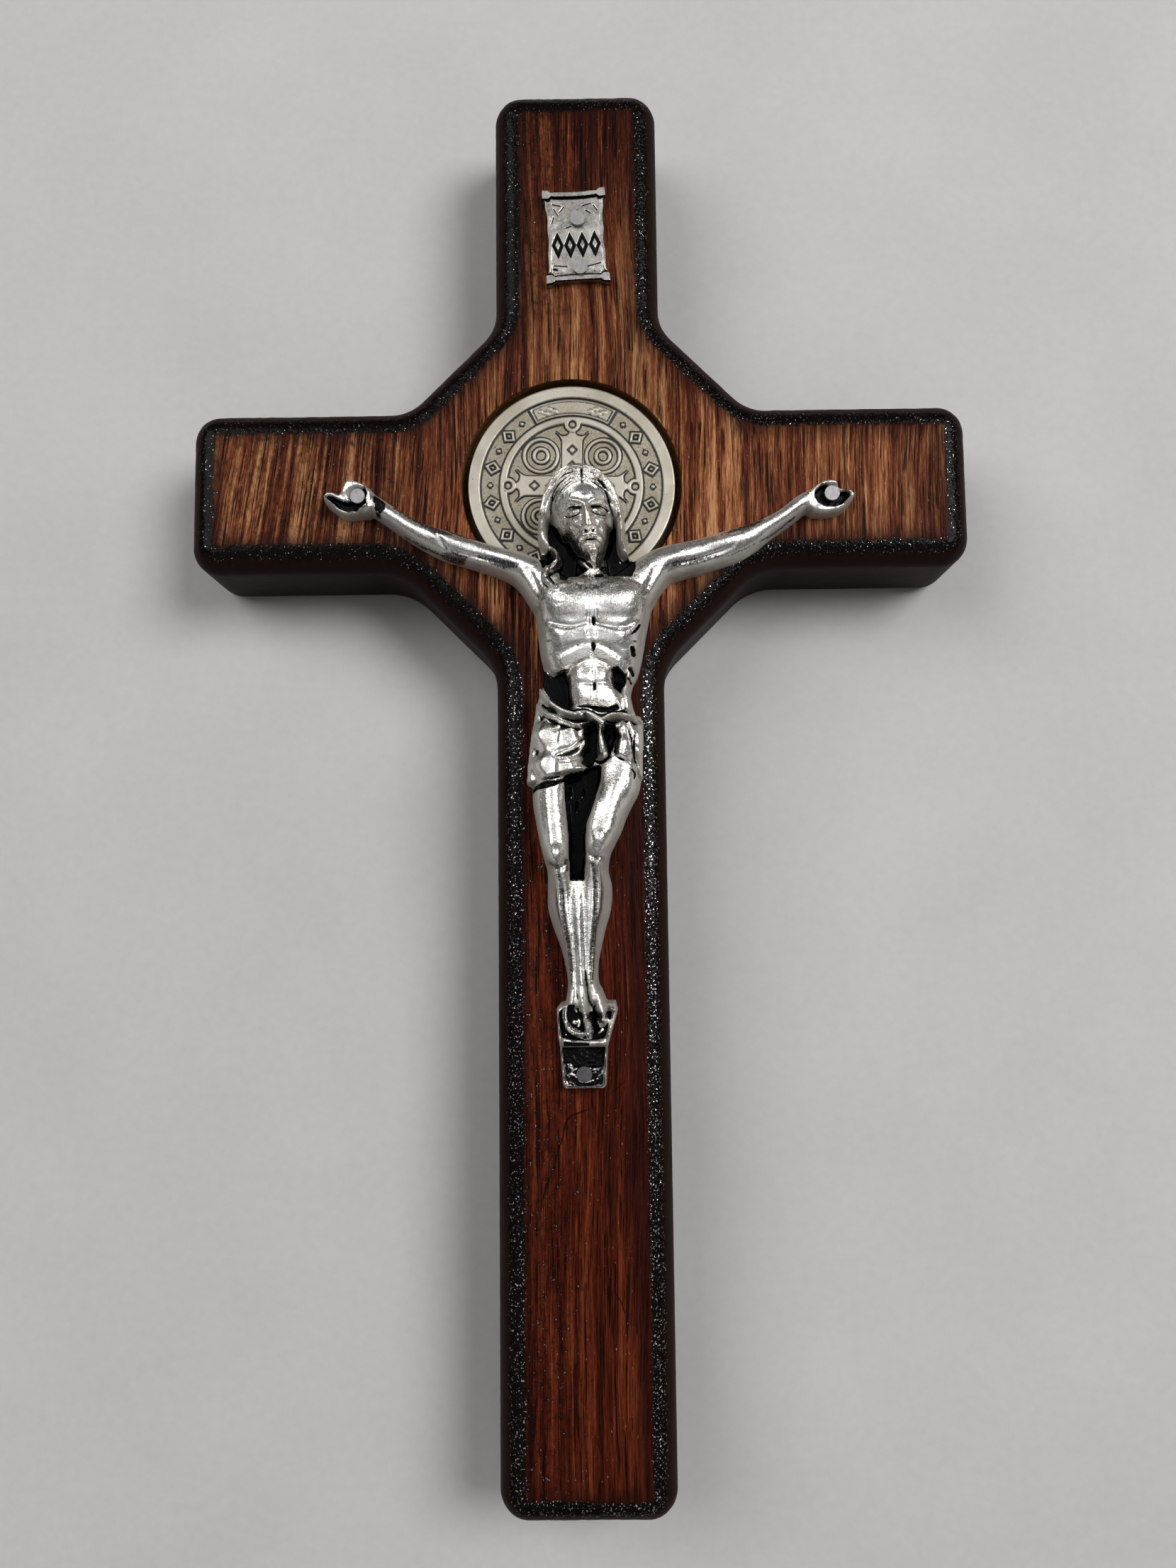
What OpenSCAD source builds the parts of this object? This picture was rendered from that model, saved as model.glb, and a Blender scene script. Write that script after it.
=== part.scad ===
// Wall crucifix: a rounded hardwood cross with an inlaid medal, a cast figure and a scroll plate.
// It lies on its back: +X across, +Y up the upright, +Z out of the face, and the back is at z = 0.
// The middle of the cross's height and width is at x = 0, y = 0.

/* [Cross] */
// Height of the upright, end to end
cross_h = 203; // [180:1:240]
// Length of the crossbar, end to end
cross_w = 112.5; // [100:0.5:140]
// Thickness of the board
board_t = 17; // [14:0.5:22]
// Width of the upright
stem_w = 24; // [20:0.5:30]
// Height of the crossbar
bar_h = 23.7; // [20:0.1:28]
// Height of the crossbar's axis above the foot of the cross
bar_rise = 142.3; // [136:0.1:150]
// Size of the slanted flares above the crossbar
flare_high = 12.8; // [9:0.1:15]
// Size of the slanted flares below the crossbar
flare_low = 14; // [9:0.1:16]
// Radius where an upper flare runs into a straight edge
flare_high_r = 6.5; // [3:0.5:9]
// Radius where a lower flare runs into a straight edge
flare_low_r = 9; // [3:0.5:10]
// Radius of the outer corners, seen from the front
corner_r = 4; // [3.5:0.1:6]
// Rounding of the front edges
front_round = 3.3; // [1:0.1:3.4]
// Rounding of the back edges
back_round = 2.5; // [1:0.1:3.4]

/* [Medal] */
// Diameter of the medal
medal_d = 29.8; // [25:0.1:31]
// Thickness of the medal
medal_t = 2; // [1.6:0.1:3]
// Diameter of the pocket in the board
pocket_d = 31.6; // [31.4:0.1:34]
// Depth of the medal's face below the wood
medal_sink = 0.2; // [0.1:0.05:0.6]
// Thickness of the adhesive under the medal
adhesive_t = 0.2; // [0.1:0.05:0.4]
// Offset of the pocket from the upright's axis
medal_x = -1; // [-2:0.1:2]
// Turn of the medal in its pocket
medal_turn = -1.3; // [-10:0.1:10]

/* [Figure] */
// Height of the casting, from the end of its foot tab to the top of the head
figure_h = 86; // [80:0.5:92]
// Span of the arms, fingertip to fingertip
figure_span = 76; // [70:0.5:82]
// Relief of the head above the wood
figure_depth = 10.5; // [9:0.1:12]
// Height of the foot tab's end above the foot of the cross
figure_rise = 57; // [52:0.5:60]
// Offset of the figure's axis from the upright's axis
figure_x = 1.5; // [-1:0.1:2]
// Thickness of the foot tab
tab_t = 1.6; // [1.2:0.1:2.2]

/* [Scroll plate] */
// Width of the scroll
scroll_w = 9.2; // [7:0.1:12]
// Height of the scroll over its two rolls
scroll_h = 14.4; // [12:0.1:17]
// Thickness of the plate between the rolls
scroll_t = 1.3; // [1:0.1:2]
// Diameter of a roll at its ends
roll_d = 2; // [1.6:0.1:2.6]
// Place of the scroll's middle between the medal's pocket and the top of the cross, as a share
scroll_share = 0.472; // [0.45:0.002:0.52]
// Turn of the scroll on the wood
scroll_turn = 2.5; // [-6:0.5:6]

/* [Pins] */
// Diameter of a pin's head
pin_head_d = 2.1; // [1.8:0.1:2.6]
// Thickness of a pin's head
pin_head_t = 0.5; // [0.3:0.05:0.8]
// Diameter of a pin's shank
pin_d = 1.1; // [0.8:0.05:1.3]
// Length of a pin, from the underside of its head
pin_l = 8; // [6:0.5:10]

/* [Hanging] */
// Diameter of the blind hole for the wall nail
hang_d = 6; // [4:0.5:8]
// Depth of that hole
hang_depth = 10; // [6:0.5:11]
// Distance of that hole below the top of the cross
hang_drop = 13.5; // [12:0.5:14.5]

/* [Hidden] */

// Clearances and overruns
pin_clear = 0.03;
cut_over = 1;
seat_clear = 0.1;

// Facets of the rounded board
corner_steps = 6;
flare_steps = 4;
front_steps = 6;
back_steps = 4;

// Places on the cross
foot_y = -cross_h / 2;
top_y = cross_h / 2;
bar_y = foot_y + bar_rise;
face_z = board_t;
pocket_depth = medal_t + medal_sink + adhesive_t;
pocket_z = face_z - pocket_depth;

// Corners of half the outline, from the foot to the top: across, up, radius
half_corners = [
    [stem_w / 2, foot_y, corner_r],
    [stem_w / 2, bar_y - bar_h / 2 - flare_low, flare_low_r],
    [stem_w / 2 + flare_low, bar_y - bar_h / 2, flare_low_r],
    [cross_w / 2, bar_y - bar_h / 2, corner_r],
    [cross_w / 2, bar_y + bar_h / 2, corner_r],
    [stem_w / 2 + flare_high, bar_y + bar_h / 2, flare_high_r],
    [stem_w / 2, bar_y + bar_h / 2 + flare_high, flare_high_r],
    [stem_w / 2, top_y, corner_r]
];
corners = concat(half_corners, [for (i = [len(half_corners) - 1 : -1 : 0])
    [-half_corners[i].x, half_corners[i].y, half_corners[i].z]]);

function wrapped(a) = a > 180 ? a - 360 : a <= -180 ? a + 360 : a;
function between(a, b, t) = a + (b - a) * t;

// Angle of the outward normal of the edge that leaves corner i
function edge_normal(i) =
    let (a = corners[i], b = corners[(i + 1) % len(corners)])
    atan2(b.y - a.y, b.x - a.x) - 90;

// Points round the outline at an inset: outer corners are arcs inside it, flares are arcs outside it
function outline(inset) = [
    for (i = [0 : len(corners) - 1])
        let (
            n1 = edge_normal((i + len(corners) - 1) % len(corners)),
            turn = wrapped(edge_normal(i) - n1),
            s = turn > 0 ? 1 : -1,
            r = corners[i].z,
            reach = r / cos(turn / 2),
            mid = n1 + turn / 2,
            c = [corners[i].x - s * reach * cos(mid), corners[i].y - s * reach * sin(mid)],
            steps = turn > 0 ? corner_steps : flare_steps
        )
        for (k = [0 : steps])
            let (a = n1 + turn * k / steps)
            [c.x + (s * r - inset) * cos(a), c.y + (s * r - inset) * sin(a)]
];

// Inset and height of each level, from the back face round both edges to the front face
levels = concat(
    [for (k = [0 : back_steps])
        let (a = 90 * k / back_steps)
        [back_round * (1 - sin(a)), back_round * (1 - cos(a))]],
    [for (k = [0 : front_steps])
        let (a = 90 * k / front_steps)
        [front_round * (1 - cos(a)), board_t - front_round * (1 - sin(a))]]
);

module rounded_cross() {
    rings = [for (l = levels) [for (p = outline(l[0])) [p.x, p.y, l[1]]]];
    m = len(rings[0]);
    n = len(rings);
    points = concat([for (ring = rings) each ring], [[0, bar_y, 0], [0, bar_y, board_t]]);
    walls = [for (i = [0 : n - 2], j = [0 : m - 1])
        [i * m + j, (i + 1) * m + j, (i + 1) * m + (j + 1) % m, i * m + (j + 1) % m]];
    back = [for (j = [0 : m - 1]) [n * m, j, (j + 1) % m]];
    front = [for (j = [0 : m - 1]) [n * m + 1, (n - 1) * m + (j + 1) % m, (n - 1) * m + j]];
    polyhedron(points = points, faces = concat(walls, back, front));
}

// Figure frame: across from the figure's axis, up from the end of the foot tab, out from the wood
function on_figure(x, y, z = 0) = [figure_x + x, foot_y + figure_rise + y, face_z + z];

// Tables of the figure. Across and width go with its height, or across with half the span on an arm,
// up goes with its height and relief with its depth.

// Up, middle, half width, relief, from the shoulders down to the waist
torso_shares = [
    [0.822, 0.004, 0.060, 0.42],
    [0.812, 0.004, 0.088, 0.60],
    [0.795, 0.005, 0.103, 0.74],
    [0.775, 0.004, 0.097, 0.79],
    [0.757, 0.004, 0.092, 0.79],
    [0.745, 0.003, 0.090, 0.73],
    [0.725, 0.003, 0.087, 0.75],
    [0.705, 0.002, 0.084, 0.71],
    [0.685, 0.002, 0.081, 0.65],
    [0.668, 0.003, 0.077, 0.57],
    [0.655, 0.008, 0.066, 0.46],
    [0.645, 0.012, 0.052, 0.34]
];
belly_shares = [
    [0.685, 0.003, 0.038, 0.58],
    [0.665, 0.003, 0.040, 0.64],
    [0.642, 0.002, 0.037, 0.65],
    [0.622, 0.000, 0.039, 0.66],
    [0.600, 0.000, 0.041, 0.60]
];

// Across, up, half width, relief, up the neck
neck_shares = [
    [0.006, 0.775, 0.028, 0.58],
    [0.006, 0.810, 0.028, 0.62],
    [0.004, 0.850, 0.028, 0.60],
    [0.002, 0.880, 0.028, 0.55]
];

// Across, up, half width, relief, from the shoulder over the wrist to the palm
left_arm_shares = [
    [-0.145, 0.795, 0.040, 0.66],
    [-0.205, 0.827, 0.034, 0.64],
    [-0.263, 0.846, 0.028, 0.58],
    [-0.329, 0.857, 0.023, 0.53],
    [-0.395, 0.866, 0.023, 0.50],
    [-0.461, 0.876, 0.023, 0.48],
    [-0.526, 0.886, 0.024, 0.46],
    [-0.592, 0.898, 0.021, 0.44],
    [-0.658, 0.913, 0.018, 0.42],
    [-0.724, 0.931, 0.0165, 0.40],
    [-0.785, 0.951, 0.017, 0.38],
    [-0.825, 0.961, 0.023, 0.35],
    [-0.868, 0.963, 0.027, 0.31],
    [-0.908, 0.960, 0.022, 0.29],
    [-0.940, 0.958, 0.015, 0.30]
];
right_arm_shares = [
    [0.150, 0.795, 0.042, 0.66],
    [0.210, 0.827, 0.035, 0.64],
    [0.263, 0.845, 0.032, 0.58],
    [0.329, 0.855, 0.029, 0.54],
    [0.395, 0.862, 0.028, 0.52],
    [0.461, 0.870, 0.027, 0.50],
    [0.526, 0.879, 0.027, 0.48],
    [0.592, 0.892, 0.023, 0.46],
    [0.658, 0.908, 0.018, 0.43],
    [0.724, 0.928, 0.016, 0.41],
    [0.785, 0.947, 0.016, 0.38],
    [0.830, 0.955, 0.023, 0.35],
    [0.875, 0.956, 0.027, 0.31],
    [0.918, 0.953, 0.022, 0.29],
    [0.945, 0.950, 0.016, 0.30]
];

// Across, up, half width, relief, from the hip over the knee to the toes
left_leg_shares = [
    [-0.058, 0.540, 0.020, 0.50],
    [-0.064, 0.500, 0.028, 0.60],
    [-0.067, 0.465, 0.030, 0.66],
    [-0.064, 0.430, 0.028, 0.69],
    [-0.060, 0.395, 0.026, 0.74],
    [-0.057, 0.372, 0.022, 0.78],
    [-0.053, 0.349, 0.021, 0.68],
    [-0.051, 0.314, 0.023, 0.61],
    [-0.049, 0.291, 0.023, 0.59],
    [-0.043, 0.262, 0.0215, 0.55],
    [-0.037, 0.233, 0.0175, 0.52],
    [-0.033, 0.203, 0.014, 0.50],
    [-0.030, 0.174, 0.013, 0.50],
    [-0.028, 0.145, 0.014, 0.53],
    [-0.026, 0.122, 0.0175, 0.57],
    [-0.025, 0.099, 0.0195, 0.49],
    [-0.024, 0.087, 0.016, 0.41]
];
right_leg_shares = [
    [0.048, 0.560, 0.022, 0.50],
    [0.046, 0.523, 0.030, 0.60],
    [0.042, 0.488, 0.034, 0.68],
    [0.035, 0.465, 0.031, 0.71],
    [0.026, 0.442, 0.030, 0.75],
    [0.017, 0.419, 0.030, 0.79],
    [0.011, 0.395, 0.026, 0.82],
    [0.007, 0.376, 0.021, 0.76],
    [0.004, 0.349, 0.020, 0.66],
    [0.003, 0.320, 0.026, 0.61],
    [0.002, 0.291, 0.026, 0.58],
    [-0.002, 0.262, 0.020, 0.55],
    [-0.005, 0.233, 0.016, 0.52],
    [-0.006, 0.203, 0.013, 0.50],
    [-0.005, 0.174, 0.011, 0.50],
    [0.001, 0.149, 0.013, 0.50],
    [0.006, 0.128, 0.014, 0.52],
    [0.010, 0.110, 0.013, 0.44],
    [0.012, 0.098, 0.010, 0.38]
];

// Across, up, half width, relief, from the chin to the top of the head
head_shares = [
    [0.010, 0.830, 0.008, 0.66],
    [0.009, 0.840, 0.017, 0.78],
    [0.006, 0.860, 0.030, 0.86],
    [0.003, 0.885, 0.040, 0.91],
    [-0.001, 0.910, 0.046, 0.92],
    [-0.006, 0.937, 0.050, 0.90],
    [-0.011, 0.962, 0.049, 0.84],
    [-0.016, 0.981, 0.040, 0.74],
    [-0.019, 0.993, 0.025, 0.62],
    [-0.020, 1.000, 0.010, 0.50]
];

// Plain features on even proportions: nose, brow, closed lids, lips
nose_shares = [
    [-0.0070, 0.924, 0.005, 0.93],
    [-0.0040, 0.908, 0.006, 0.965],
    [-0.0010, 0.893, 0.008, 1.000],
    [0.0010, 0.883, 0.010, 0.975],
    [0.0020, 0.878, 0.005, 0.92]
];
brow_shares = [
    [-0.041, 0.919, 0.005, 0.80],
    [-0.024, 0.929, 0.007, 0.91],
    [-0.007, 0.926, 0.006, 0.93],
    [0.012, 0.934, 0.007, 0.91],
    [0.030, 0.929, 0.005, 0.80]
];
left_lid_shares = [
    [-0.034, 0.907, 0.002, 0.80],
    [-0.024, 0.909, 0.006, 0.915],
    [-0.014, 0.909, 0.002, 0.88]
];
right_lid_shares = [
    [0.008, 0.913, 0.002, 0.88],
    [0.018, 0.915, 0.006, 0.915],
    [0.028, 0.915, 0.002, 0.80]
];
lip_shares = [
    [-0.009, 0.864, 0.002, 0.82],
    [0.0035, 0.866, 0.0055, 0.925],
    [0.016, 0.867, 0.002, 0.82]
];

// Beard, from one jaw round the chin to the other
beard_shares = [
    [-0.034, 0.894, 0.008, 0.72],
    [-0.028, 0.867, 0.012, 0.80],
    [-0.011, 0.848, 0.015, 0.87],
    [0.006, 0.841, 0.016, 0.885],
    [0.021, 0.850, 0.015, 0.87],
    [0.034, 0.872, 0.012, 0.80],
    [0.040, 0.897, 0.008, 0.72]
];

// Hair: from the lock on one shoulder, over the crown, down the other side
hair_shares = [
    [-0.048, 0.792, 0.004, 0.80],
    [-0.058, 0.797, 0.008, 0.80],
    [-0.068, 0.806, 0.009, 0.78],
    [-0.070, 0.822, 0.010, 0.76],
    [-0.060, 0.833, 0.010, 0.75],
    [-0.049, 0.845, 0.010, 0.72],
    [-0.050, 0.858, 0.010, 0.68],
    [-0.064, 0.868, 0.009, 0.62],
    [-0.0745, 0.880, 0.009, 0.60],
    [-0.0755, 0.905, 0.010, 0.62],
    [-0.070, 0.932, 0.013, 0.66],
    [-0.058, 0.960, 0.015, 0.73],
    [-0.038, 0.980, 0.014, 0.80],
    [-0.012, 0.987, 0.0125, 0.84],
    [0.012, 0.980, 0.014, 0.82],
    [0.031, 0.960, 0.015, 0.76],
    [0.042, 0.938, 0.014, 0.68],
    [0.0485, 0.915, 0.011, 0.63],
    [0.051, 0.890, 0.009, 0.60],
    [0.053, 0.868, 0.010, 0.60],
    [0.059, 0.850, 0.005, 0.60]
];

// Loincloth: up, middle, half width, relief, from the belt to the hem on each side
left_cloth_shares = [
    [0.640, -0.079, 0.006, 0.45],
    [0.622, -0.069, 0.020, 0.60],
    [0.605, -0.054, 0.037, 0.70],
    [0.587, -0.0495, 0.0435, 0.75],
    [0.564, -0.052, 0.046, 0.77],
    [0.535, -0.055, 0.047, 0.77],
    [0.517, -0.059, 0.0455, 0.76],
    [0.502, -0.0645, 0.041, 0.74],
    [0.488, -0.079, 0.027, 0.68],
    [0.481, -0.087, 0.018, 0.60]
];
right_cloth_shares = [
    [0.602, 0.0550, 0.0260, 0.56],
    [0.587, 0.0565, 0.0260, 0.70],
    [0.564, 0.0580, 0.0255, 0.75],
    [0.535, 0.0590, 0.0245, 0.75],
    [0.519, 0.0655, 0.0170, 0.67],
    [0.500, 0.0720, 0.0085, 0.52]
];

// Hanging folds of the cloth: across, up, half width, relief
drape_shares = [
    [[-0.076, 0.577, 0.010, 0.76], [-0.047, 0.569, 0.012, 0.83], [-0.023, 0.569, 0.010, 0.85],
     [-0.009, 0.577, 0.006, 0.80]],
    [[-0.062, 0.536, 0.006, 0.76], [-0.041, 0.534, 0.008, 0.84], [-0.023, 0.544, 0.008, 0.86],
     [-0.010, 0.562, 0.006, 0.80]],
    [[-0.089, 0.503, 0.009, 0.66], [-0.060, 0.508, 0.010, 0.81], [-0.033, 0.516, 0.009, 0.84],
     [-0.010, 0.533, 0.006, 0.78]]
];

// Belt of twisted cloth across the waist, and the tail of its knot: across, up, relief
belt_shares = [
    [-0.080, 0.637, 0.40],
    [-0.070, 0.612, 0.64],
    [-0.047, 0.598, 0.76],
    [-0.017, 0.593, 0.80],
    [0.012, 0.589, 0.80],
    [0.041, 0.587, 0.77],
    [0.062, 0.591, 0.68],
    [0.078, 0.592, 0.44]
];
belt_r_share = 0.0058;
belt_twist = 720;
tail_shares = [
    [0.010, 0.590, 0.008, 0.84],
    [0.013, 0.565, 0.009, 0.86],
    [0.015, 0.540, 0.013, 0.86],
    [0.015, 0.526, 0.012, 0.80]
];

// Sunk webs behind the hair, the waist, the cloth and the legs: relief, then corners across and up
web_shares = [
    [0.28, [[-0.084, 0.810], [0.084, 0.810], [0.080, 0.850], [0.057, 0.862], [0.050, 0.915],
            [-0.076, 0.915], [-0.080, 0.872]]],
    [0.26, [[-0.085, 0.580], [0.080, 0.580], [0.062, 0.626], [0.070, 0.653], [0.074, 0.672],
            [-0.078, 0.672], [-0.081, 0.640]]],
    [0.42, [[-0.100, 0.512], [0.078, 0.512], [0.080, 0.596], [-0.090, 0.600]]],
    [0.24, [[-0.040, 0.515], [-0.045, 0.300], [-0.030, 0.130], [0.000, 0.130], [-0.002, 0.300],
            [-0.008, 0.395], [0.015, 0.515]]]
];

// Foot block and tab: across and up
block_shares = [[-0.062, 0.130], [-0.052, 0.141], [0.034, 0.143], [0.037, 0.128], [0.023, 0.072],
                [-0.057, 0.072]];
block_share = 0.34;
block_dish_share = 0.10;
block_rim_share = 0.008;
tab_top_share = 0.076;
tab_half_share = 0.038;
tab_mid_share = -0.0175;
tab_taper_share = 0.9;
tab_corner_share = 0.006;
tab_rim_share = 0.005;

// Fingers and toes, and the pins
finger_r_share = 0.0062;
finger_rise_share = 0.24;
toe_r_share = 0.0045;
toe_rise_share = 0.42;
palm_seat_share = 0.21;
left_pin_shares = [-0.863, 0.968];
right_pin_shares = [0.903, 0.962];
foot_pin_shares = [-0.0175, 0.0285];

// Each finger: its root and tip, across and up
left_finger_shares = [
    [[-0.925, 0.966], [-0.982, 0.969]],
    [[-0.925, 0.957], [-0.972, 0.959]],
    [[-0.920, 0.949], [-0.955, 0.949]],
    [[-0.905, 0.943], [-0.930, 0.941]],
    [[-0.845, 0.982], [-0.898, 0.988]]
];
right_finger_shares = [
    [[0.930, 0.963], [0.983, 0.962]],
    [[0.930, 0.954], [0.975, 0.953]],
    [[0.925, 0.945], [0.960, 0.944]],
    [[0.910, 0.938], [0.935, 0.935]],
    [[0.860, 0.975], [0.905, 0.982]]
];
toe_shares = [
    [[-0.039, 0.106], [-0.042, 0.096]],
    [[-0.031, 0.107], [-0.033, 0.093]],
    [[-0.023, 0.107], [-0.023, 0.091]],
    [[-0.0145, 0.108], [-0.013, 0.0925]],
    [[0.006, 0.115], [0.005, 0.101]],
    [[0.014, 0.116], [0.015, 0.104]]
];

function arm_point(row) = [figure_span / 2 * row[0], figure_h * row[1], figure_h * row[2],
                           figure_depth * row[3]];
function limb_point(row) = [figure_h * row[0], figure_h * row[1], figure_h * row[2],
                            figure_depth * row[3]];
function slice_point(row) = [figure_h * row[1], figure_h * row[0], figure_h * row[2],
                             figure_depth * row[3]];

// One ring of a cast form: flat on the wood, domed in front, square to the way the form runs
ring_steps = 12;
dome_power = 0.85;
function signed_power(v, p) = sign(v) * pow(abs(v), p);
function dome_ring(row, way, steps, folds = 0, fold_share = 0) =
    let (l = norm(way), side = [-way.y / l, way.x / l])
    [for (k = [0 : steps])
        let (
            a = 180 * k / steps,
            ripple = 1 + fold_share * sin(folds * a) * sin(a),
            s = row[2] * ripple * signed_power(cos(a), dome_power),
            h = row[3] * ripple * pow(abs(sin(a)), dome_power)
        )
        [row[0] + side.x * s, row[1] + side.y * s, k == 0 || k == steps ? 0 : h]];

// Skin over rings: level ones lie straight across the figure, the others turn with their rows
module loft(rows, steps = ring_steps, level = false, folds = 0, fold_share = 0) {
    n = len(rows);
    m = steps + 1;
    rings = [for (i = [0 : n - 1])
        let (
            a = rows[max(i - 1, 0)],
            b = rows[min(i + 1, n - 1)]
        )
        dome_ring(rows[i], level ? [0, -1] : [b.x - a.x, b.y - a.y], steps, folds, fold_share)];
    walls = [for (i = [0 : n - 2], j = [0 : m - 1])
        let (
            a = i * m + j,
            b = i * m + (j + 1) % m,
            c = (i + 1) * m + (j + 1) % m,
            d = (i + 1) * m + j
        )
        each [[a, c, b], [a, d, c]]];
    start = [for (j = [0 : m - 1]) j];
    end = [for (j = [m - 1 : -1 : 0]) (n - 1) * m + j];
    polyhedron(points = [for (ring = rings) each ring], faces = concat(walls, [start], [end]));
}

// A point on a list of points at a share of the way along it, by straight steps
function along(list, t) =
    let (
        f = t * (len(list) - 1),
        i = min(floor(f), len(list) - 2)
    )
    between(list[i], list[i + 1], f - i);

// One strand of the belt, wound round the belt's path
strand_rings = 30;
strand_sides = 6;
module strand(phase) {
    r = figure_h * belt_r_share;
    path = [for (p = belt_shares) [figure_h * p[0], figure_h * p[1], figure_depth * p[2]]];
    rings = [for (i = [0 : strand_rings])
        let (
            t = i / strand_rings,
            p = along(path, t),
            w = phase + belt_twist * t,
            c = [p.x, p.y + r * cos(w), p.z + r * sin(w)]
        )
        [for (k = [0 : strand_sides - 1])
            let (a = 360 * k / strand_sides)
            [c.x, c.y + r * cos(a), c.z + r * sin(a)]]];
    walls = [for (i = [0 : strand_rings - 1], j = [0 : strand_sides - 1])
        let (
            a = i * strand_sides + j,
            b = i * strand_sides + (j + 1) % strand_sides,
            c = (i + 1) * strand_sides + (j + 1) % strand_sides,
            d = (i + 1) * strand_sides + j
        )
        each [[a, c, b], [a, d, c]]];
    start = [for (j = [0 : strand_sides - 1]) j];
    end = [for (j = [strand_sides - 1 : -1 : 0]) strand_rings * strand_sides + j];
    polyhedron(points = [for (ring = rings) each ring], faces = concat(walls, [start], [end]));
}

// Rounded stick from one end to the other, standing on the wood
module digit(ends, r, rise) {
    hull()
        for (p = ends) {
            translate([p.x, p.y, rise])
                sphere(r, $fn = 8);
            translate([p.x, p.y, 0])
                cylinder(r = r, h = r, $fn = 8);
        }
}

module plate(shares, t) {
    linear_extrude(t)
        polygon([for (p = shares) [figure_h * p[0], figure_h * p[1]]]);
}

module foot_block() {
    difference() {
        plate(block_shares, figure_depth * block_share);
        translate([0, 0, figure_depth * (block_share - block_dish_share)])
            linear_extrude(figure_depth)
                offset(delta = -figure_h * block_rim_share)
                    polygon([for (p = block_shares) [figure_h * p[0], figure_h * p[1]]]);
    }
}

// Tab with a floor for the pin inside a raised rim; the inset draws its outline in
module tab_outline(inset) {
    x = figure_h * tab_mid_share;
    half = figure_h * tab_half_share;
    r = figure_h * tab_corner_share;
    offset(delta = -inset)
        hull() {
            for (s = [-1, 1])
                translate([x + s * (half * tab_taper_share - r), r])
                    circle(r, $fn = 16);
            translate([x - half, figure_h * tab_top_share - r])
                square([2 * half, r]);
        }
}

module foot_tab() {
    rim = figure_h * tab_rim_share;
    linear_extrude(tab_t)
        tab_outline(0);
    linear_extrude(tab_t + rim)
        difference() {
            tab_outline(0);
            tab_outline(rim);
        }
}

module arm(rows, fingers) {
    loft([for (row = rows) arm_point(row)]);
    for (f = fingers)
        digit([for (p = f) [figure_span / 2 * p[0], figure_h * p[1]]], figure_h * finger_r_share,
              figure_depth * finger_rise_share);
}

module toes() {
    for (f = toe_shares)
        digit([for (p = f) [figure_h * p[0], figure_h * p[1]]], figure_h * toe_r_share,
              figure_depth * toe_rise_share);
}

module limb(rows, steps = ring_steps) {
    loft([for (row = rows) limb_point(row)], steps);
}

module trunk(rows, steps, folds = 0, fold_share = 0) {
    loft([for (row = rows) slice_point(row)], steps, true, folds, fold_share);
}

// Face, hair and beard
small_steps = 8;
module head() {
    limb(head_shares, 16);
    for (rows = [nose_shares, brow_shares, left_lid_shares, right_lid_shares, lip_shares])
        limb(rows, small_steps);
    limb(beard_shares, small_steps);
    limb(hair_shares, small_steps);
}

module loincloth() {
    trunk(left_cloth_shares, 16);
    trunk(right_cloth_shares, 24, 7, 0.07);
    for (rows = drape_shares)
        limb(rows, small_steps);
    limb(tail_shares, small_steps);
    strand(0);
    strand(180);
}

module palm_seat(shares) {
    translate([figure_span / 2 * shares[0], figure_h * shares[1], figure_depth * palm_seat_share])
        cylinder(d = pin_head_d + 2 * seat_clear, h = figure_depth, $fn = 24);
}

function palm_at(shares) =
    on_figure(figure_span / 2 * shares[0], figure_h * shares[1], figure_depth * palm_seat_share);
function tab_at(shares) = on_figure(figure_h * shares[0], figure_h * shares[1], tab_t);

// Pin: flat head, round shank and a point
point_share = 1.2;
module pin() {
    translate([0, 0, -pin_l])
        cylinder(d1 = 0, d2 = pin_d, h = pin_d * point_share, $fn = 32);
    translate([0, 0, -pin_l + pin_d * point_share])
        cylinder(d = pin_d, h = pin_l - pin_d * point_share, $fn = 32);
    cylinder(d = pin_head_d, h = pin_head_t, $fn = 48);
}

module pin_hole() {
    translate([0, 0, -pin_l - pin_clear])
        cylinder(d = pin_d + 2 * pin_clear, h = pin_l + pin_clear + cut_over, $fn = 32);
}

// Scroll plate frame: its middle, turned on the wood
scroll_pin_shares = [[0.04, 0.165], [0.04, -0.35]];
scroll_y = between(bar_y + pocket_d / 2, top_y, scroll_share);
function on_scroll(x, y) = [x * cos(scroll_turn) - y * sin(scroll_turn),
                            scroll_y + x * sin(scroll_turn) + y * cos(scroll_turn), face_z + scroll_t];
scroll_pins_at = [for (p = scroll_pin_shares) on_scroll(scroll_w * p[0], scroll_h * p[1])];
hand_pins_at = [palm_at(left_pin_shares), palm_at(right_pin_shares)];
foot_pin_at = tab_at(foot_pin_shares);

module cross_board() {
    color("#6b2c16")
    difference() {
        rounded_cross();
        translate([medal_x, bar_y, pocket_z])
            cylinder(d = pocket_d, h = pocket_depth + cut_over, $fn = 96);
        translate([0, top_y - hang_drop, -cut_over])
            cylinder(d = hang_d, h = hang_depth + cut_over, $fn = 48);
        for (p = concat(scroll_pins_at, hand_pins_at, [foot_pin_at]))
            translate(p)
                pin_hole();
    }
}

adhesive_share = 0.9;
module medal_adhesive() {
    color("#c8b48a")
    translate([medal_x, bar_y, pocket_z])
        cylinder(d = medal_d * adhesive_share, h = adhesive_t, $fn = 96);
}

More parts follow.
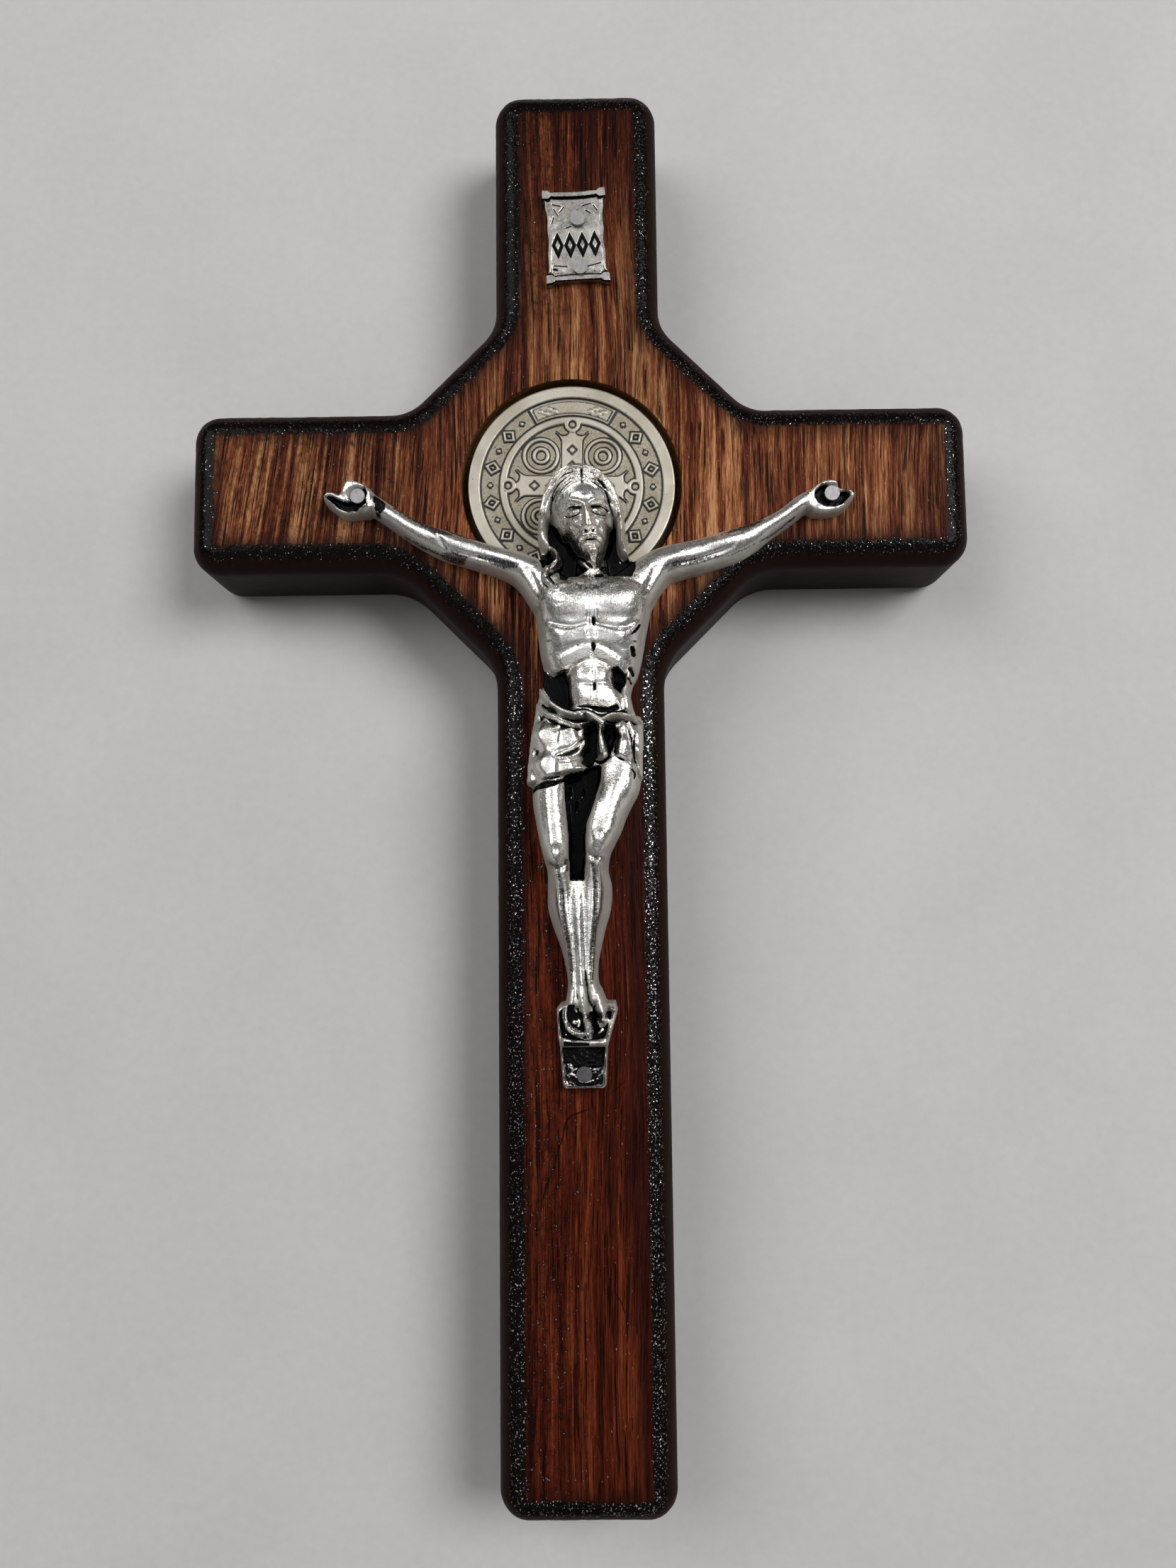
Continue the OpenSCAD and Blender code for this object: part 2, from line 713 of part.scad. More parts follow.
// Medal: shares of its radius
rim_share = 0.89;
ring_out_share = 0.70;
ring_in_share = 0.63;
cross_half_share = 0.10;
cross_reach_share = 0.55;
cross_flare_share = 0.17;
cross_flare_start_share = 0.46;
tip_at_share = 0.62;
tip_r_share = 0.078;
tip_hole_share = 0.038;
roundel_at_share = 0.305;
roundel_r_share = 0.18;
roundel_in_share = 0.145;
boss_r_share = 0.06;
field_share = 0.12;

module medal_arm() {
    r = medal_d / 2;
    polygon([for (s = [1, -1], p = s > 0
            ? [[0, cross_half_share], [cross_flare_start_share, cross_half_share],
               [cross_reach_share, cross_flare_share], [cross_reach_share, 0]]
            : [[cross_reach_share, cross_flare_share], [cross_flare_start_share, cross_half_share],
               [0, cross_half_share]])
        [r * p[0], s * r * p[1]]]);
}

module medal() {
    r = medal_d / 2;
    sunk = medal_t * field_share;
    color("#b9b29a")
    translate([medal_x, bar_y, pocket_z + adhesive_t])
        rotate(medal_turn)
            union() {
                rotate_extrude($fn = 96)
                    polygon([[0, 0], [r, 0], [r, medal_t], [r * rim_share, medal_t],
                             [r * rim_share, medal_t - sunk], [r * ring_out_share, medal_t - sunk],
                             [r * ring_out_share, medal_t], [r * ring_in_share, medal_t],
                             [r * ring_in_share, medal_t - sunk], [0, medal_t - sunk]]);
                translate([0, 0, medal_t / 2])
                    linear_extrude(medal_t / 2)
                        difference() {
                            union() {
                                for (q = [0 : 3])
                                    rotate(90 * q) {
                                        medal_arm();
                                        translate([r * tip_at_share, 0])
                                            circle(r * tip_r_share, $fn = 48);
                                    }
                            }
                            for (q = [0 : 3])
                                rotate(90 * q)
                                    translate([r * tip_at_share, 0])
                                        circle(r * tip_hole_share, $fn = 48);
                        }
                for (q = [0 : 3])
                    rotate(90 * q)
                        translate([r * roundel_at_share, r * roundel_at_share, medal_t / 2])
                            linear_extrude(medal_t / 2) {
                                difference() {
                                    circle(r * roundel_r_share, $fn = 48);
                                    circle(r * roundel_in_share, $fn = 48);
                                }
                                circle(r * boss_r_share, $fn = 48);
                            }
            }
}

// Scroll: a plate with drawn-in sides between two rolls that swell towards their ends
waist_share = 0.05;
roll_waist_share = 0.62;
roll_steps = 8;
module scroll_roll() {
    half = scroll_w / 2;
    intersection() {
        translate([0, 0, roll_d / 2 * roll_waist_share])
            rotate([0, 90, 0])
                rotate_extrude($fn = 48)
                    polygon(concat([[0, -half]],
                        [for (k = [0 : roll_steps])
                            let (t = 2 * k / roll_steps - 1)
                            [roll_d / 2 * between(roll_waist_share, 1, t * t), half * t]],
                        [[0, half]]));
        translate([-scroll_w, -roll_d, 0])
            cube([2 * scroll_w, 2 * roll_d, 2 * roll_d]);
    }
}

module scroll_body() {
    half = scroll_w / 2 * (1 - waist_share);
    reach = scroll_h / 2 - roll_d / 2;
    side = [for (k = [0 : roll_steps])
        let (t = 2 * k / roll_steps - 1)
        [half * (1 - waist_share * (1 - t * t)), reach * t]];
    linear_extrude(scroll_t)
        polygon(concat(side, [for (k = [roll_steps : -1 : 0]) [-side[k].x, side[k].y]]));
}

module scroll_plate() {
    color("#c9c9c6")
    difference() {
        translate([0, scroll_y, face_z])
            rotate(scroll_turn) {
                scroll_body();
                for (s = [-1, 1])
                    translate([0, s * (scroll_h / 2 - roll_d / 2), 0])
                        scroll_roll();
            }
        for (p = scroll_pins_at)
            translate(p)
                pin_hole();
    }
}

module corpus() {
    color("#cfcfcd")
    difference() {
        translate(on_figure(0, 0))
            difference() {
                union() {
                    trunk(torso_shares, 20);
                    trunk(belly_shares, ring_steps);
                    limb(neck_shares);
                    head();
                    arm(left_arm_shares, left_finger_shares);
                    arm(right_arm_shares, right_finger_shares);
                    limb(left_leg_shares);
                    limb(right_leg_shares);
                    toes();
                    loincloth();
                    for (web = web_shares)
                        plate(web[1], figure_depth * web[0]);
                    foot_block();
                    foot_tab();
                }
                palm_seat(left_pin_shares);
                palm_seat(right_pin_shares);
            }
        for (p = concat(hand_pins_at, [foot_pin_at]))
            translate(p)
                pin_hole();
    }
}

module scroll_pins() {
    color("#8d8d90")
    for (p = scroll_pins_at)
        translate(p)
            pin();
}

module hand_pins() {
    color("#8d8d90")
    for (p = hand_pins_at)
        translate(p)
            pin();
}

module foot_pin() {
    color("#8d8d90")
    translate(foot_pin_at)
        pin();
}

cross_board();
medal_adhesive();
medal();
scroll_plate();
corpus();
scroll_pins();
hand_pins();
foot_pin();
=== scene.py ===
import math

import bmesh
import bpy
import numpy as np
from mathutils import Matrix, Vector


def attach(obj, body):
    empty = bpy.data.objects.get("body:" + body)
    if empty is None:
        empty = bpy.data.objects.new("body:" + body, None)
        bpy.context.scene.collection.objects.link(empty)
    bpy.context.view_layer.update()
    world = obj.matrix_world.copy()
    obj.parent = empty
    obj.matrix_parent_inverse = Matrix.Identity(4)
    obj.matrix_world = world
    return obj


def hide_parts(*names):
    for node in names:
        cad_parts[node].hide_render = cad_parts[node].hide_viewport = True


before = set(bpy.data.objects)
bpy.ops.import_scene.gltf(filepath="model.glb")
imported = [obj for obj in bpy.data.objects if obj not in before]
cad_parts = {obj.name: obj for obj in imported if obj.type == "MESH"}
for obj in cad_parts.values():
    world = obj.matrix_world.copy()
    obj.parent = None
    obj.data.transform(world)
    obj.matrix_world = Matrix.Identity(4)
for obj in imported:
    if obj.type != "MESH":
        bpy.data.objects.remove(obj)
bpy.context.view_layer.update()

print("frame loaded:", len(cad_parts), "nodes")

mm = 0.001


def softStep(low, high, x):
    # 0 below low, 1 above high, and 3tt - 2ttt between
    t = np.clip((x - low) / (high - low), 0, 1)
    return t * t * (3 - 2 * t)


def lumps(x, y, z, size, seed):
    # random heights on a cubic lattice of the given cell, joined along x, y and z by soft steps: 0 to 1
    table = np.random.RandomState(seed).rand(8192)
    px, py, pz = x / size, y / size, z / size
    ix, iy, iz = (np.floor(p).astype(np.int64) for p in (px, py, pz))
    fx, fy, fz = (softStep(0, 1, p - np.floor(p)) for p in (px, py, pz))

    def corner(a, b, c):
        return table[((ix + a) * 73856093 ^ (iy + b) * 19349663 ^ (iz + c) * 83492791) & 8191]

    def level(c):
        low = corner(0, 0, c) * (1 - fx) + corner(1, 0, c) * fx
        high = corner(0, 1, c) * (1 - fx) + corner(1, 1, c) * fx
        return low * (1 - fy) + high * fy
    return level(0) * (1 - fz) + level(1) * fz


def gridFaces(rows, columns, first=0, around=False):
    # four-sided faces between neighbouring points of a rows by columns grid
    across = columns if around else columns - 1
    r, c = np.meshgrid(np.arange(rows - 1), np.arange(across), indexing="ij")
    n = (c + 1) % columns
    return first + np.stack([r * columns + c, r * columns + n, (r + 1) * columns + n,
                             (r + 1) * columns + c], -1).reshape(-1, 4)


def splinePath(rows, count):
    # smooth curve through the rows, every column alike: the cubic whose slope at a row is half of
    # the step from the row before to the row after
    rows = np.asarray(rows, float)
    if len(rows) < 3:
        t = np.linspace(0, 1, count)[:, None]
        return rows[0] * (1 - t) + rows[-1] * t
    ends = np.vstack([2 * rows[0] - rows[1], rows, 2 * rows[-1] - rows[-2]])
    s = np.linspace(0, len(rows) - 1 - 1e-9, count)
    i = np.floor(s).astype(int)
    t = (s - i)[:, None]
    a, b, c, d = ends[i], ends[i + 1], ends[i + 2], ends[i + 3]
    return 0.5 * (2 * b + (c - a) * t + (2 * a - 5 * b + 4 * c - d) * t ** 2
                  + (3 * b - a - 3 * c + d) * t ** 3)


def makePiece(name, points, quads=None, tris=None, values=None, sharp=None):
    # a mesh object from points in millimetres and rows of point numbers
    quads = np.zeros((0, 4), int) if quads is None else quads
    tris = np.zeros((0, 3), int) if tris is None else tris
    mesh = bpy.data.meshes.new(name)
    mesh.vertices.add(len(points))
    mesh.vertices.foreach_set("co", (np.asarray(points) * mm).astype(np.float32).ravel())
    mesh.loops.add(quads.size + tris.size)
    mesh.loops.foreach_set("vertex_index",
                           np.concatenate([quads.ravel(), tris.ravel()]).astype(np.int32))
    mesh.polygons.add(len(quads) + len(tris))
    mesh.polygons.foreach_set("loop_start", np.concatenate(
        [np.arange(len(quads)) * 4, quads.size + np.arange(len(tris)) * 3]).astype(np.int32))
    mesh.update(calc_edges=True)
    mesh.validate()
    for label, column in (values or {}).items():
        layer = mesh.attributes.new(label, "FLOAT", "POINT")
        layer.data.foreach_set("value", np.asarray(column, np.float32))
    mesh.shade_smooth()
    if sharp:
        mesh.set_sharp_from_angle(angle=math.radians(sharp))
    piece = bpy.data.objects.new(name, mesh)
    bpy.context.scene.collection.objects.link(piece)
    return piece


def closeUp(piece, levels=(), allRims=False):
    # fills the flat openings whose rims lie at the given heights, or all open rims at once, and
    # turns every face outwards
    work = bmesh.new()
    work.from_mesh(piece.data)
    for level in levels:
        rim = [e for e in work.edges if len(e.link_faces) == 1
               and all(abs(v.co.z - level * mm) < 1e-6 for v in e.verts)]
        bmesh.ops.triangle_fill(work, use_beauty=True, edges=rim)
    if allRims:
        rim = [e for e in work.edges if len(e.link_faces) == 1]
        bmesh.ops.triangle_fill(work, use_beauty=False, edges=rim)
    bmesh.ops.recalc_face_normals(work, faces=work.faces)
    for face in work.faces:
        face.smooth = True
    work.to_mesh(piece.data)
    work.free()


def newMaterial(name):
    # a material, its node tree and its shader
    material = bpy.data.materials.new(name)
    material.use_nodes = True
    return material, material.node_tree, material.node_tree.nodes["Principled BSDF"]


def put(tree, kind, sockets=None, **settings):
    # adds a node; a socket value that is itself a socket is linked
    node = tree.nodes.new(kind)
    for key, value in settings.items():
        setattr(node, key, value)
    for key, value in (sockets or {}).items():
        if isinstance(value, bpy.types.NodeSocket):
            tree.links.new(value, node.inputs[key])
        else:
            node.inputs[key].default_value = value
    return node


def calc(tree, operation, a, b=0.0, c=0.0):
    # one math node
    return put(tree, "ShaderNodeMath", {0: a, 1: b, 2: c}, operation=operation).outputs[0]


def plus(tree, a, b):
    return calc(tree, "ADD", a, b)


def minus(tree, a, b):
    return calc(tree, "SUBTRACT", a, b)


def times(tree, a, b):
    return calc(tree, "MULTIPLY", a, b)


def vary(tree, base, cloud, amount):
    # base + amount * (cloud - 0.5)
    return calc(tree, "MULTIPLY_ADD", minus(tree, cloud, 0.5), amount, base)


def stretch(tree, value, low, high, toLow=0.0, toHigh=1.0, smooth=True):
    # from low to high the value runs from toLow to toHigh, and beyond them it stays there
    return put(tree, "ShaderNodeMapRange", {0: value, 1: low, 2: high, 3: toLow, 4: toHigh},
               interpolation_type="SMOOTHSTEP" if smooth else "LINEAR").outputs[0]


def blend(tree, share, a, b):
    # a where share is 0, b where it is 1
    return put(tree, "ShaderNodeMix", {0: share, 2: a, 3: b}, data_type="FLOAT").outputs[0]


def blendColour(tree, share, a, b):
    return put(tree, "ShaderNodeMix", {0: share, 6: a, 7: b}, data_type="RGBA").outputs[2]


def ramp(tree, value, stops):
    # stops: place, linear colour
    node = put(tree, "ShaderNodeValToRGB", {0: value})
    band = node.color_ramp
    while len(band.elements) < len(stops):
        band.elements.new(0.5)
    for element, (place, colour) in zip(band.elements, stops):
        element.position = place
        element.color = colour
    return node.outputs[0]


def fromPaint(r, g, b):
    # linear colour of an 8-bit display colour
    def channel(v):
        v = v / 255
        return v / 12.92 if v <= 0.04045 else ((v + 0.055) / 1.055) ** 2.4
    return (channel(r), channel(g), channel(b), 1.0)


def tint(tree, share, base, paint):
    # the base, painted over to the given share with an 8-bit display colour
    return blendColour(tree, share, base, fromPaint(*paint))


def paintRamp(tree, value, stops):
    # stops: place, 8-bit display colour
    return ramp(tree, value, [(place, fromPaint(*paint)) for place, paint in stops])


def millimetres(tree, scale=(1, 1, 1)):
    # object coordinates in millimetres, stretched by scale
    where = put(tree, "ShaderNodeTexCoord").outputs["Object"]
    return put(tree, "ShaderNodeMapping", {"Vector": where, "Scale": [s / mm for s in scale]}).outputs[0]


def noise(tree, scale, detail=2, rough=0.5, warp=0.0):
    # cloudy values of 0 to 1: scale is one or three counts per millimetre, or a vector of its own
    if not isinstance(scale, bpy.types.NodeSocket):
        scale = millimetres(tree, scale if isinstance(scale, tuple) else (scale,) * 3)
    return put(tree, "ShaderNodeTexNoise", {"Vector": scale, "Scale": 1.0, "Detail": detail,
                                            "Roughness": rough, "Distortion": warp}).outputs[0]


def bumped(tree, shader, height, strength=1.0):
    # the height, in millimetres, tilts the surface's normal
    bump = put(tree, "ShaderNodeBump", {"Height": height, "Strength": strength, "Distance": mm})
    tree.links.new(bump.outputs[0], shader.inputs["Normal"])


def attribute(tree, name):
    # a value stored at the mesh's points
    return put(tree, "ShaderNodeAttribute", attribute_name=name).outputs["Fac"]


# millimetres; the last three are the spacing of points and the depth of beads and waves in the lacquer
board = dict(height=203.0, width=112.5, thick=17.0, stem=24.0, bar=23.7, barRise=142.3,
             flareHigh=12.8, flareLow=14.0, flareHighRound=6.5, flareLowRound=9.0, corner=4.0,
             frontRound=3.3, backRound=2.5, flatRim=0.6, pocket=31.6, pocketX=-1.0,
             pocketDepth=2.4, hole=6.0, holeDepth=10.0, holeDrop=13.5, spacing=0.5, beads=0.05,
             waves=0.05)
footY = -board["height"] / 2
topY = board["height"] / 2
barY = footY + board["barRise"]


def boardOutline():
    # straight edges and arcs round the sixteen corners: points on the outline and outward normals
    b = board
    half, arm = b["stem"] / 2, b["bar"] / 2
    side = [(half, footY, b["corner"]),
            (half, barY - arm - b["flareLow"], b["flareLowRound"]),
            (half + b["flareLow"], barY - arm, b["flareLowRound"]),
            (b["width"] / 2, barY - arm, b["corner"]), (b["width"] / 2, barY + arm, b["corner"]),
            (half + b["flareHigh"], barY + arm, b["flareHighRound"]),
            (half, barY + arm + b["flareHigh"], b["flareHighRound"]), (half, topY, b["corner"])]
    corners = np.array(side + [(-x, y, r) for x, y, r in reversed(side)])
    step = np.roll(corners, -1, 0)[:, :2] - corners[:, :2]
    facing = np.arctan2(step[:, 1], step[:, 0]) - math.pi / 2
    before = np.roll(facing, 1)
    turn = (facing - before + math.pi) % (2 * math.pi) - math.pi
    sign, radius = np.sign(turn), corners[:, 2]
    mid = before + turn / 2
    centre = corners[:, :2] - (sign * radius / np.cos(turn / 2))[:, None] * np.stack(
        [np.cos(mid), np.sin(mid)], 1)
    places, normals = [], []
    for i in range(16):
        count = max(8, int(abs(turn[i]) * radius[i] / b["spacing"] * 1.5))
        a = before[i] + turn[i] * np.linspace(0, 1, count + 1)
        out = np.stack([np.cos(a), np.sin(a)], 1)
        arc = centre[i] + sign[i] * radius[i] * out
        j = (i + 1) % 16
        away = np.array([math.cos(facing[i]), math.sin(facing[i])])
        nextStart = centre[j] + sign[j] * radius[j] * away
        length = np.linalg.norm(nextStart - arc[-1])
        t = np.linspace(0, 1, max(2, int(length / b["spacing"])) + 1)[1:-1, None]
        places += [arc, arc[-1] * (1 - t) + nextStart * t]
        normals += [out, np.repeat(away[None], len(t), 0)]
    return np.vstack(places), np.vstack(normals)


def turnedHole(x, y, rings, count):
    # circles of the given radius and height about a vertical axis, closed by a point at the end
    a = np.linspace(0, 2 * math.pi, count, endpoint=False)
    r, z = np.array(rings, float).T[:, :, None]
    ring = np.stack([x + r * np.cos(a), y + r * np.sin(a), z + 0 * a], -1)
    points = np.vstack([ring.reshape(-1, 3), [[x, y, rings[-1][1]]]])
    last = (len(rings) - 1) * count
    n = np.arange(count)
    fan = np.stack([last + n, last + (n + 1) % count, np.full(count, len(points) - 1)], 1)
    return points, gridFaces(len(rings), count, 0, True), fan


def makeBoard():
    # point = outline - inset * normal at height z, for a profile that runs from the back face round
    # both edges to the front; then it sinks by lumps of lacquer, square to the surface
    b = board
    place, normal = boardOutline()
    back = np.linspace(0, math.pi / 2, 8)
    front = np.linspace(0, math.pi / 2, 13)
    up = np.linspace(b["backRound"], b["thick"] - b["frontRound"], 20)[1:-1]
    inset = np.concatenate([[b["backRound"] + b["flatRim"]], b["backRound"] * (1 - np.sin(back)),
                            0 * up, b["frontRound"] * (1 - np.cos(front)),
                            [b["frontRound"] + b["flatRim"]]])
    height = np.concatenate([[0], b["backRound"] * (1 - np.cos(back)), up,
                             b["thick"] - b["frontRound"] * (1 - np.sin(front)), [b["thick"]]])
    tilt = np.concatenate([[-math.pi / 2], back - math.pi / 2, 0 * up, front, [math.pi / 2]])
    rows, columns = len(inset), len(place)
    flat = place[None] - inset[:, None, None] * normal[None]
    x, y = flat[..., 0], flat[..., 1]
    z = np.repeat(height[:, None], columns, 1)
    share = np.repeat((softStep(-0.1, 0.5, tilt) * (inset < b["frontRound"] + 0.3)
                       + 0.25 * (np.abs(tilt) < 0.1))[:, None], columns, 1)
    share = np.clip(share * (inset < b["frontRound"])[:, None], 0, 1)
    grain = 0.6 * lumps(x, y, z, 0.9, 4) + 0.4 * lumps(x, y, z, 0.45, 5)
    sink = b["beads"] * share * softStep(0.35, 0.75, grain)
    sink = sink + b["waves"] * share * lumps(x, y, z, 3.2, 6)
    out, rise = np.cos(tilt)[:, None], np.sin(tilt)[:, None]
    x = x - sink * out * normal[None, :, 0]
    y = y - sink * out * normal[None, :, 1]
    z = z - sink * rise
    shell = np.stack([x, y, z], -1).reshape(-1, 3)
    edge = np.repeat(inset[:, None], columns, 1).ravel()
    p, d = b["pocket"] / 2, b["thick"] - b["pocketDepth"]
    pocket, pocketQuads, pocketFan = turnedHole(b["pocketX"], barY, [
        (p + 0.25, b["thick"]), (p + 0.08, b["thick"] - 0.06), (p, b["thick"] - 0.2),
        (p, b["thick"] - 1), (p, d + 0.1), (p - 0.1, d), (p - 1, d), (p - 4, d)], 180)
    h, t = b["hole"] / 2, b["holeDepth"]
    hole, holeQuads, holeFan = turnedHole(0, topY - b["holeDrop"], [
        (h + 0.15, 0), (h, 0.15), (h, 2), (h, t)], 48)
    points = np.vstack([shell, pocket, hole])
    quads = np.vstack([gridFaces(rows, columns, 0, True), pocketQuads + len(shell),
                       holeQuads + len(shell) + len(pocket)])
    tris = np.vstack([pocketFan + len(shell), holeFan + len(shell) + len(pocket)])
    # the pocket's tone sets in over its rim; ten stands for far from the outline
    inPocket = np.concatenate([0 * edge, np.repeat([0, 0.2, 0.6, 1, 1, 1, 1, 1], 180), np.ones(1 + len(hole))])
    edge = np.concatenate([edge, np.full(len(pocket) + len(hole), 10.0)])
    piece = makePiece("crossBoard", points, quads, tris, {"edge": edge, "pocket": inPocket})
    closeUp(piece, (0, b["thick"]))
    piece.data.set_sharp_from_angle(angle=math.radians(40))
    return piece


crossBoard = makeBoard()
print("board:", len(crossBoard.data.polygons), "faces")


# millimetres across from the figure's axis, up from the end of its foot tab, out from the wood
figure = dict(step=0.12, left=-38.6, right=38.6, low=-0.3, high=87.0, axisX=1.5, endY=-44.5,
              faceZ=17.0, wallFoot=0.35, tallest=10.42, smoothing=0.10, cavityWidth=0.5, creaseWidth=0.2,
              slopeWidth=0.12, filmAndShadeGain=1.45)
gx = np.arange(figure["left"], figure["right"], figure["step"])
gy = np.arange(figure["low"], figure["high"], figure["step"])
gridX, gridY = np.meshgrid(gx, gy)
inside = np.full(gridX.shape, -5.0)      # distance inside the outline
relief = np.zeros(gridX.shape)           # height above the wood
black = np.zeros(gridX.shape)            # black filling of the hollows
filmAndShade = np.zeros(gridX.shape)             # thin film of black outside them, part patina and part painted shade
outlineFillet = 0.3                      # where the outlines of two forms meet


def windowOf(points, reach):
    # the slices of the grid within reach of the points
    p = np.asarray(points, float)
    x0, y0 = p[:, 0].min() - reach, p[:, 1].min() - reach
    x1, y1 = p[:, 0].max() + reach, p[:, 1].max() + reach
    s = figure["step"]
    i0, i1 = (int(np.clip((v - gx[0]) / s, 0, len(gx))) for v in (x0, x1 + s))
    j0, j1 = (int(np.clip((v - gy[0]) / s, 0, len(gy))) for v in (y0, y1 + s))
    return slice(j0, j1), slice(i0, i1)


def alongPath(path, window):
    # for each grid point of the window: distance to the nearest point of the path, the side it is
    # on, how far along it is, and the path's other columns there
    x, y = gridX[window], gridY[window]
    best = np.full(x.shape, 1e9)
    other = np.zeros(x.shape + (path.shape[1] - 2,))
    side = np.zeros(x.shape)
    far = np.zeros(x.shape)
    for k in range(len(path) - 1):
        a, b = path[k], path[k + 1]
        dx, dy = b[0] - a[0], b[1] - a[1]
        t = np.clip(((x - a[0]) * dx + (y - a[1]) * dy) / max(dx * dx + dy * dy, 1e-9), 0, 1)
        ex, ey = x - a[0] - t * dx, y - a[1] - t * dy
        d = ex * ex + ey * ey
        closer = d < best
        best = np.where(closer, d, best)
        side = np.where(closer, np.sign(dx * ey - dy * ex), side)
        far = np.where(closer, (k + t) / (len(path) - 1), far)
        for c in range(path.shape[1] - 2):
            other[..., c] = np.where(closer, a[c + 2] * (1 - t) + b[c + 2] * t, other[..., c])
    return np.sqrt(best), side, far, other


def softMax(a, b, reach):
    # the larger of two, with a fillet of the given reach
    h = np.maximum(reach - np.abs(a - b), 0) / reach
    return np.maximum(a, b) + h * h * reach / 4


def castWall(depth, half, tall, wall, foot, power=2.4):
    # a straight drafted wall up to foot of the height, then a dome over the rest
    w = np.minimum(wall, 0.7 * half)
    rise = np.clip(depth / w, 0, 1)
    u = np.clip(1 - (depth - w) / np.maximum(half - w, 0.05), 0, 1)
    crown = np.maximum(1 - u ** power, 0) ** 0.6
    return np.where(depth < w, tall * (0.12 + (foot - 0.12) * rise),
                    tall * (foot + (1 - foot) * crown))


def addForm(window, depth, tall, fillet=0.3):
    # joins a form to the relief: the higher of the two stands
    inside[window] = softMax(inside[window], depth, outlineFillet)
    low = np.where(depth > 0, tall, 0)
    relief[window] = softMax(relief[window], low, fillet)


def addLimb(rows, wall=0.8, foot=0.55, strands=0, groove=0.12, fillet=0.3, power=2.4, wave=0.0):
    # rows: across, up, half width, height, and maybe the wall's width to either side; strands cuts
    # lengthwise grooves that wave
    path = splinePath(rows, 6 * len(rows))
    window = windowOf(path, path[:, 2].max() + 0.6)
    d, side, far, other = alongPath(path, window)
    half, tall = np.maximum(other[..., 0], 0.05), other[..., 1]
    if other.shape[-1] > 2:
        wall = np.maximum(np.where(side > 0, other[..., 3], other[..., 2]), 0.1)
    top = castWall(half - d, half, tall, wall, foot, power)
    if strands:
        s = np.clip(side * d / half, -1, 1)
        phase = strands * s + 1 + wave * np.sin(far * len(rows) * 1.9 + 2.2 * s)
        top = top - groove * (0.5 + 0.5 * np.cos(math.pi * phase)) * softStep(1, 0.8, abs(s))
    addForm(window, half - d, top, fillet)


def addTrunk(rows, wall=0.9, foot=0.55, power=2.4):
    # rows: up, middle, half width, height, for level slices; a wall, then a dome over the rest
    rows = np.asarray(rows, float)
    path = splinePath(rows, 8 * len(rows))
    path = path[np.argsort(path[:, 0])]
    mid, half, tall = (np.interp(gy, path[:, 0], path[:, c])[:, None] for c in (1, 2, 3))
    d = np.abs(gridX - mid)
    ends = np.minimum(gridY - path[0, 0], path[-1, 0] - gridY)
    depth = np.minimum(half - d, ends * 1.5)
    w = np.minimum(wall, 0.4 * half)
    u = np.clip((d / np.maximum(half - w, 0.05)), 0, 1)
    crown = np.maximum(1 - u ** power, 0) ** (1 / 2.2) * np.clip(0.4 + ends, 0, 1)
    rise = np.clip(depth / w, 0, 1)
    top = np.where(depth < w, tall * (0.12 + (foot - 0.12) * rise), tall * (foot + (1 - foot) * crown))
    whole = (slice(None), slice(None))
    addForm(whole, depth, np.where(depth > 0, top, 0))


def polygonDepth(corners, window):
    # distance to the polygon's edge, positive within it
    p = np.asarray(corners, float)
    x, y = gridX[window], gridY[window]
    best = np.full(x.shape, 1e9)
    within = np.zeros(x.shape, bool)
    for a, b in zip(p, np.roll(p, -1, 0)):
        dx, dy = b - a
        t = np.clip(((x - a[0]) * dx + (y - a[1]) * dy) / max(dx * dx + dy * dy, 1e-9), 0, 1)
        best = np.minimum(best, (x - a[0] - t * dx) ** 2 + (y - a[1] - t * dy) ** 2)
        if dy != 0:
            crosses = ((a[1] > y) != (b[1] > y)) & (x < dx * (y - a[1]) / dy + a[0])
            within ^= crosses
    return np.where(within, 1, -1) * np.sqrt(best)


def addPanel(corners, heights, edge=0.5, drop=0.75, fillet=0.15):
    # a cloth or plate: its height is the mean of the given heights, each weighed by the fourth power
    # of its nearness, and it rounds off towards its edge
    window = windowOf(corners, 0.6)
    depth = polygonDepth(corners, window)
    x, y = gridX[window], gridY[window]
    total, weights = 0, 0
    for hx, hy, hz in heights:
        w = 1 / (((x - hx) ** 2 + (y - hy) ** 2) + 0.3) ** 2
        total, weights = total + w * hz, weights + w
    u = np.clip(1 - depth / edge, 0, 1)
    top = total / weights * (drop + (1 - drop) * np.sqrt(1 - u * u))
    inside[window] = softMax(inside[window], depth, outlineFillet)
    relief[window] = np.where(depth > 0, softMax(relief[window], top, fillet), relief[window])


def stroke(rows, samples=8):
    # rows: across, up, width, height; adds height * exp(-(distance / width) squared)
    path = splinePath(rows, samples * len(rows))
    window = windowOf(path, 2.6 * path[:, 2].max())
    d, side, far, other = alongPath(path, window)
    w = np.maximum(other[..., 0], 0.03)
    relief[window] += other[..., 1] * np.exp(-(d / w) ** 2) * (inside[window] > 0)


def swell(x, y, rx, ry, turn, tall):
    # an oval cushion: height * (1 - squared distance from its middle) squared
    window = windowOf([(x, y)], max(rx, ry))
    c, s = math.cos(math.radians(turn)), math.sin(math.radians(turn))
    u = ((gridX[window] - x) * c + (gridY[window] - y) * s) / rx
    v = (-(gridX[window] - x) * s + (gridY[window] - y) * c) / ry
    relief[window] += tall * np.maximum(1 - u * u - v * v, 0) ** 2 * (inside[window] > 0)


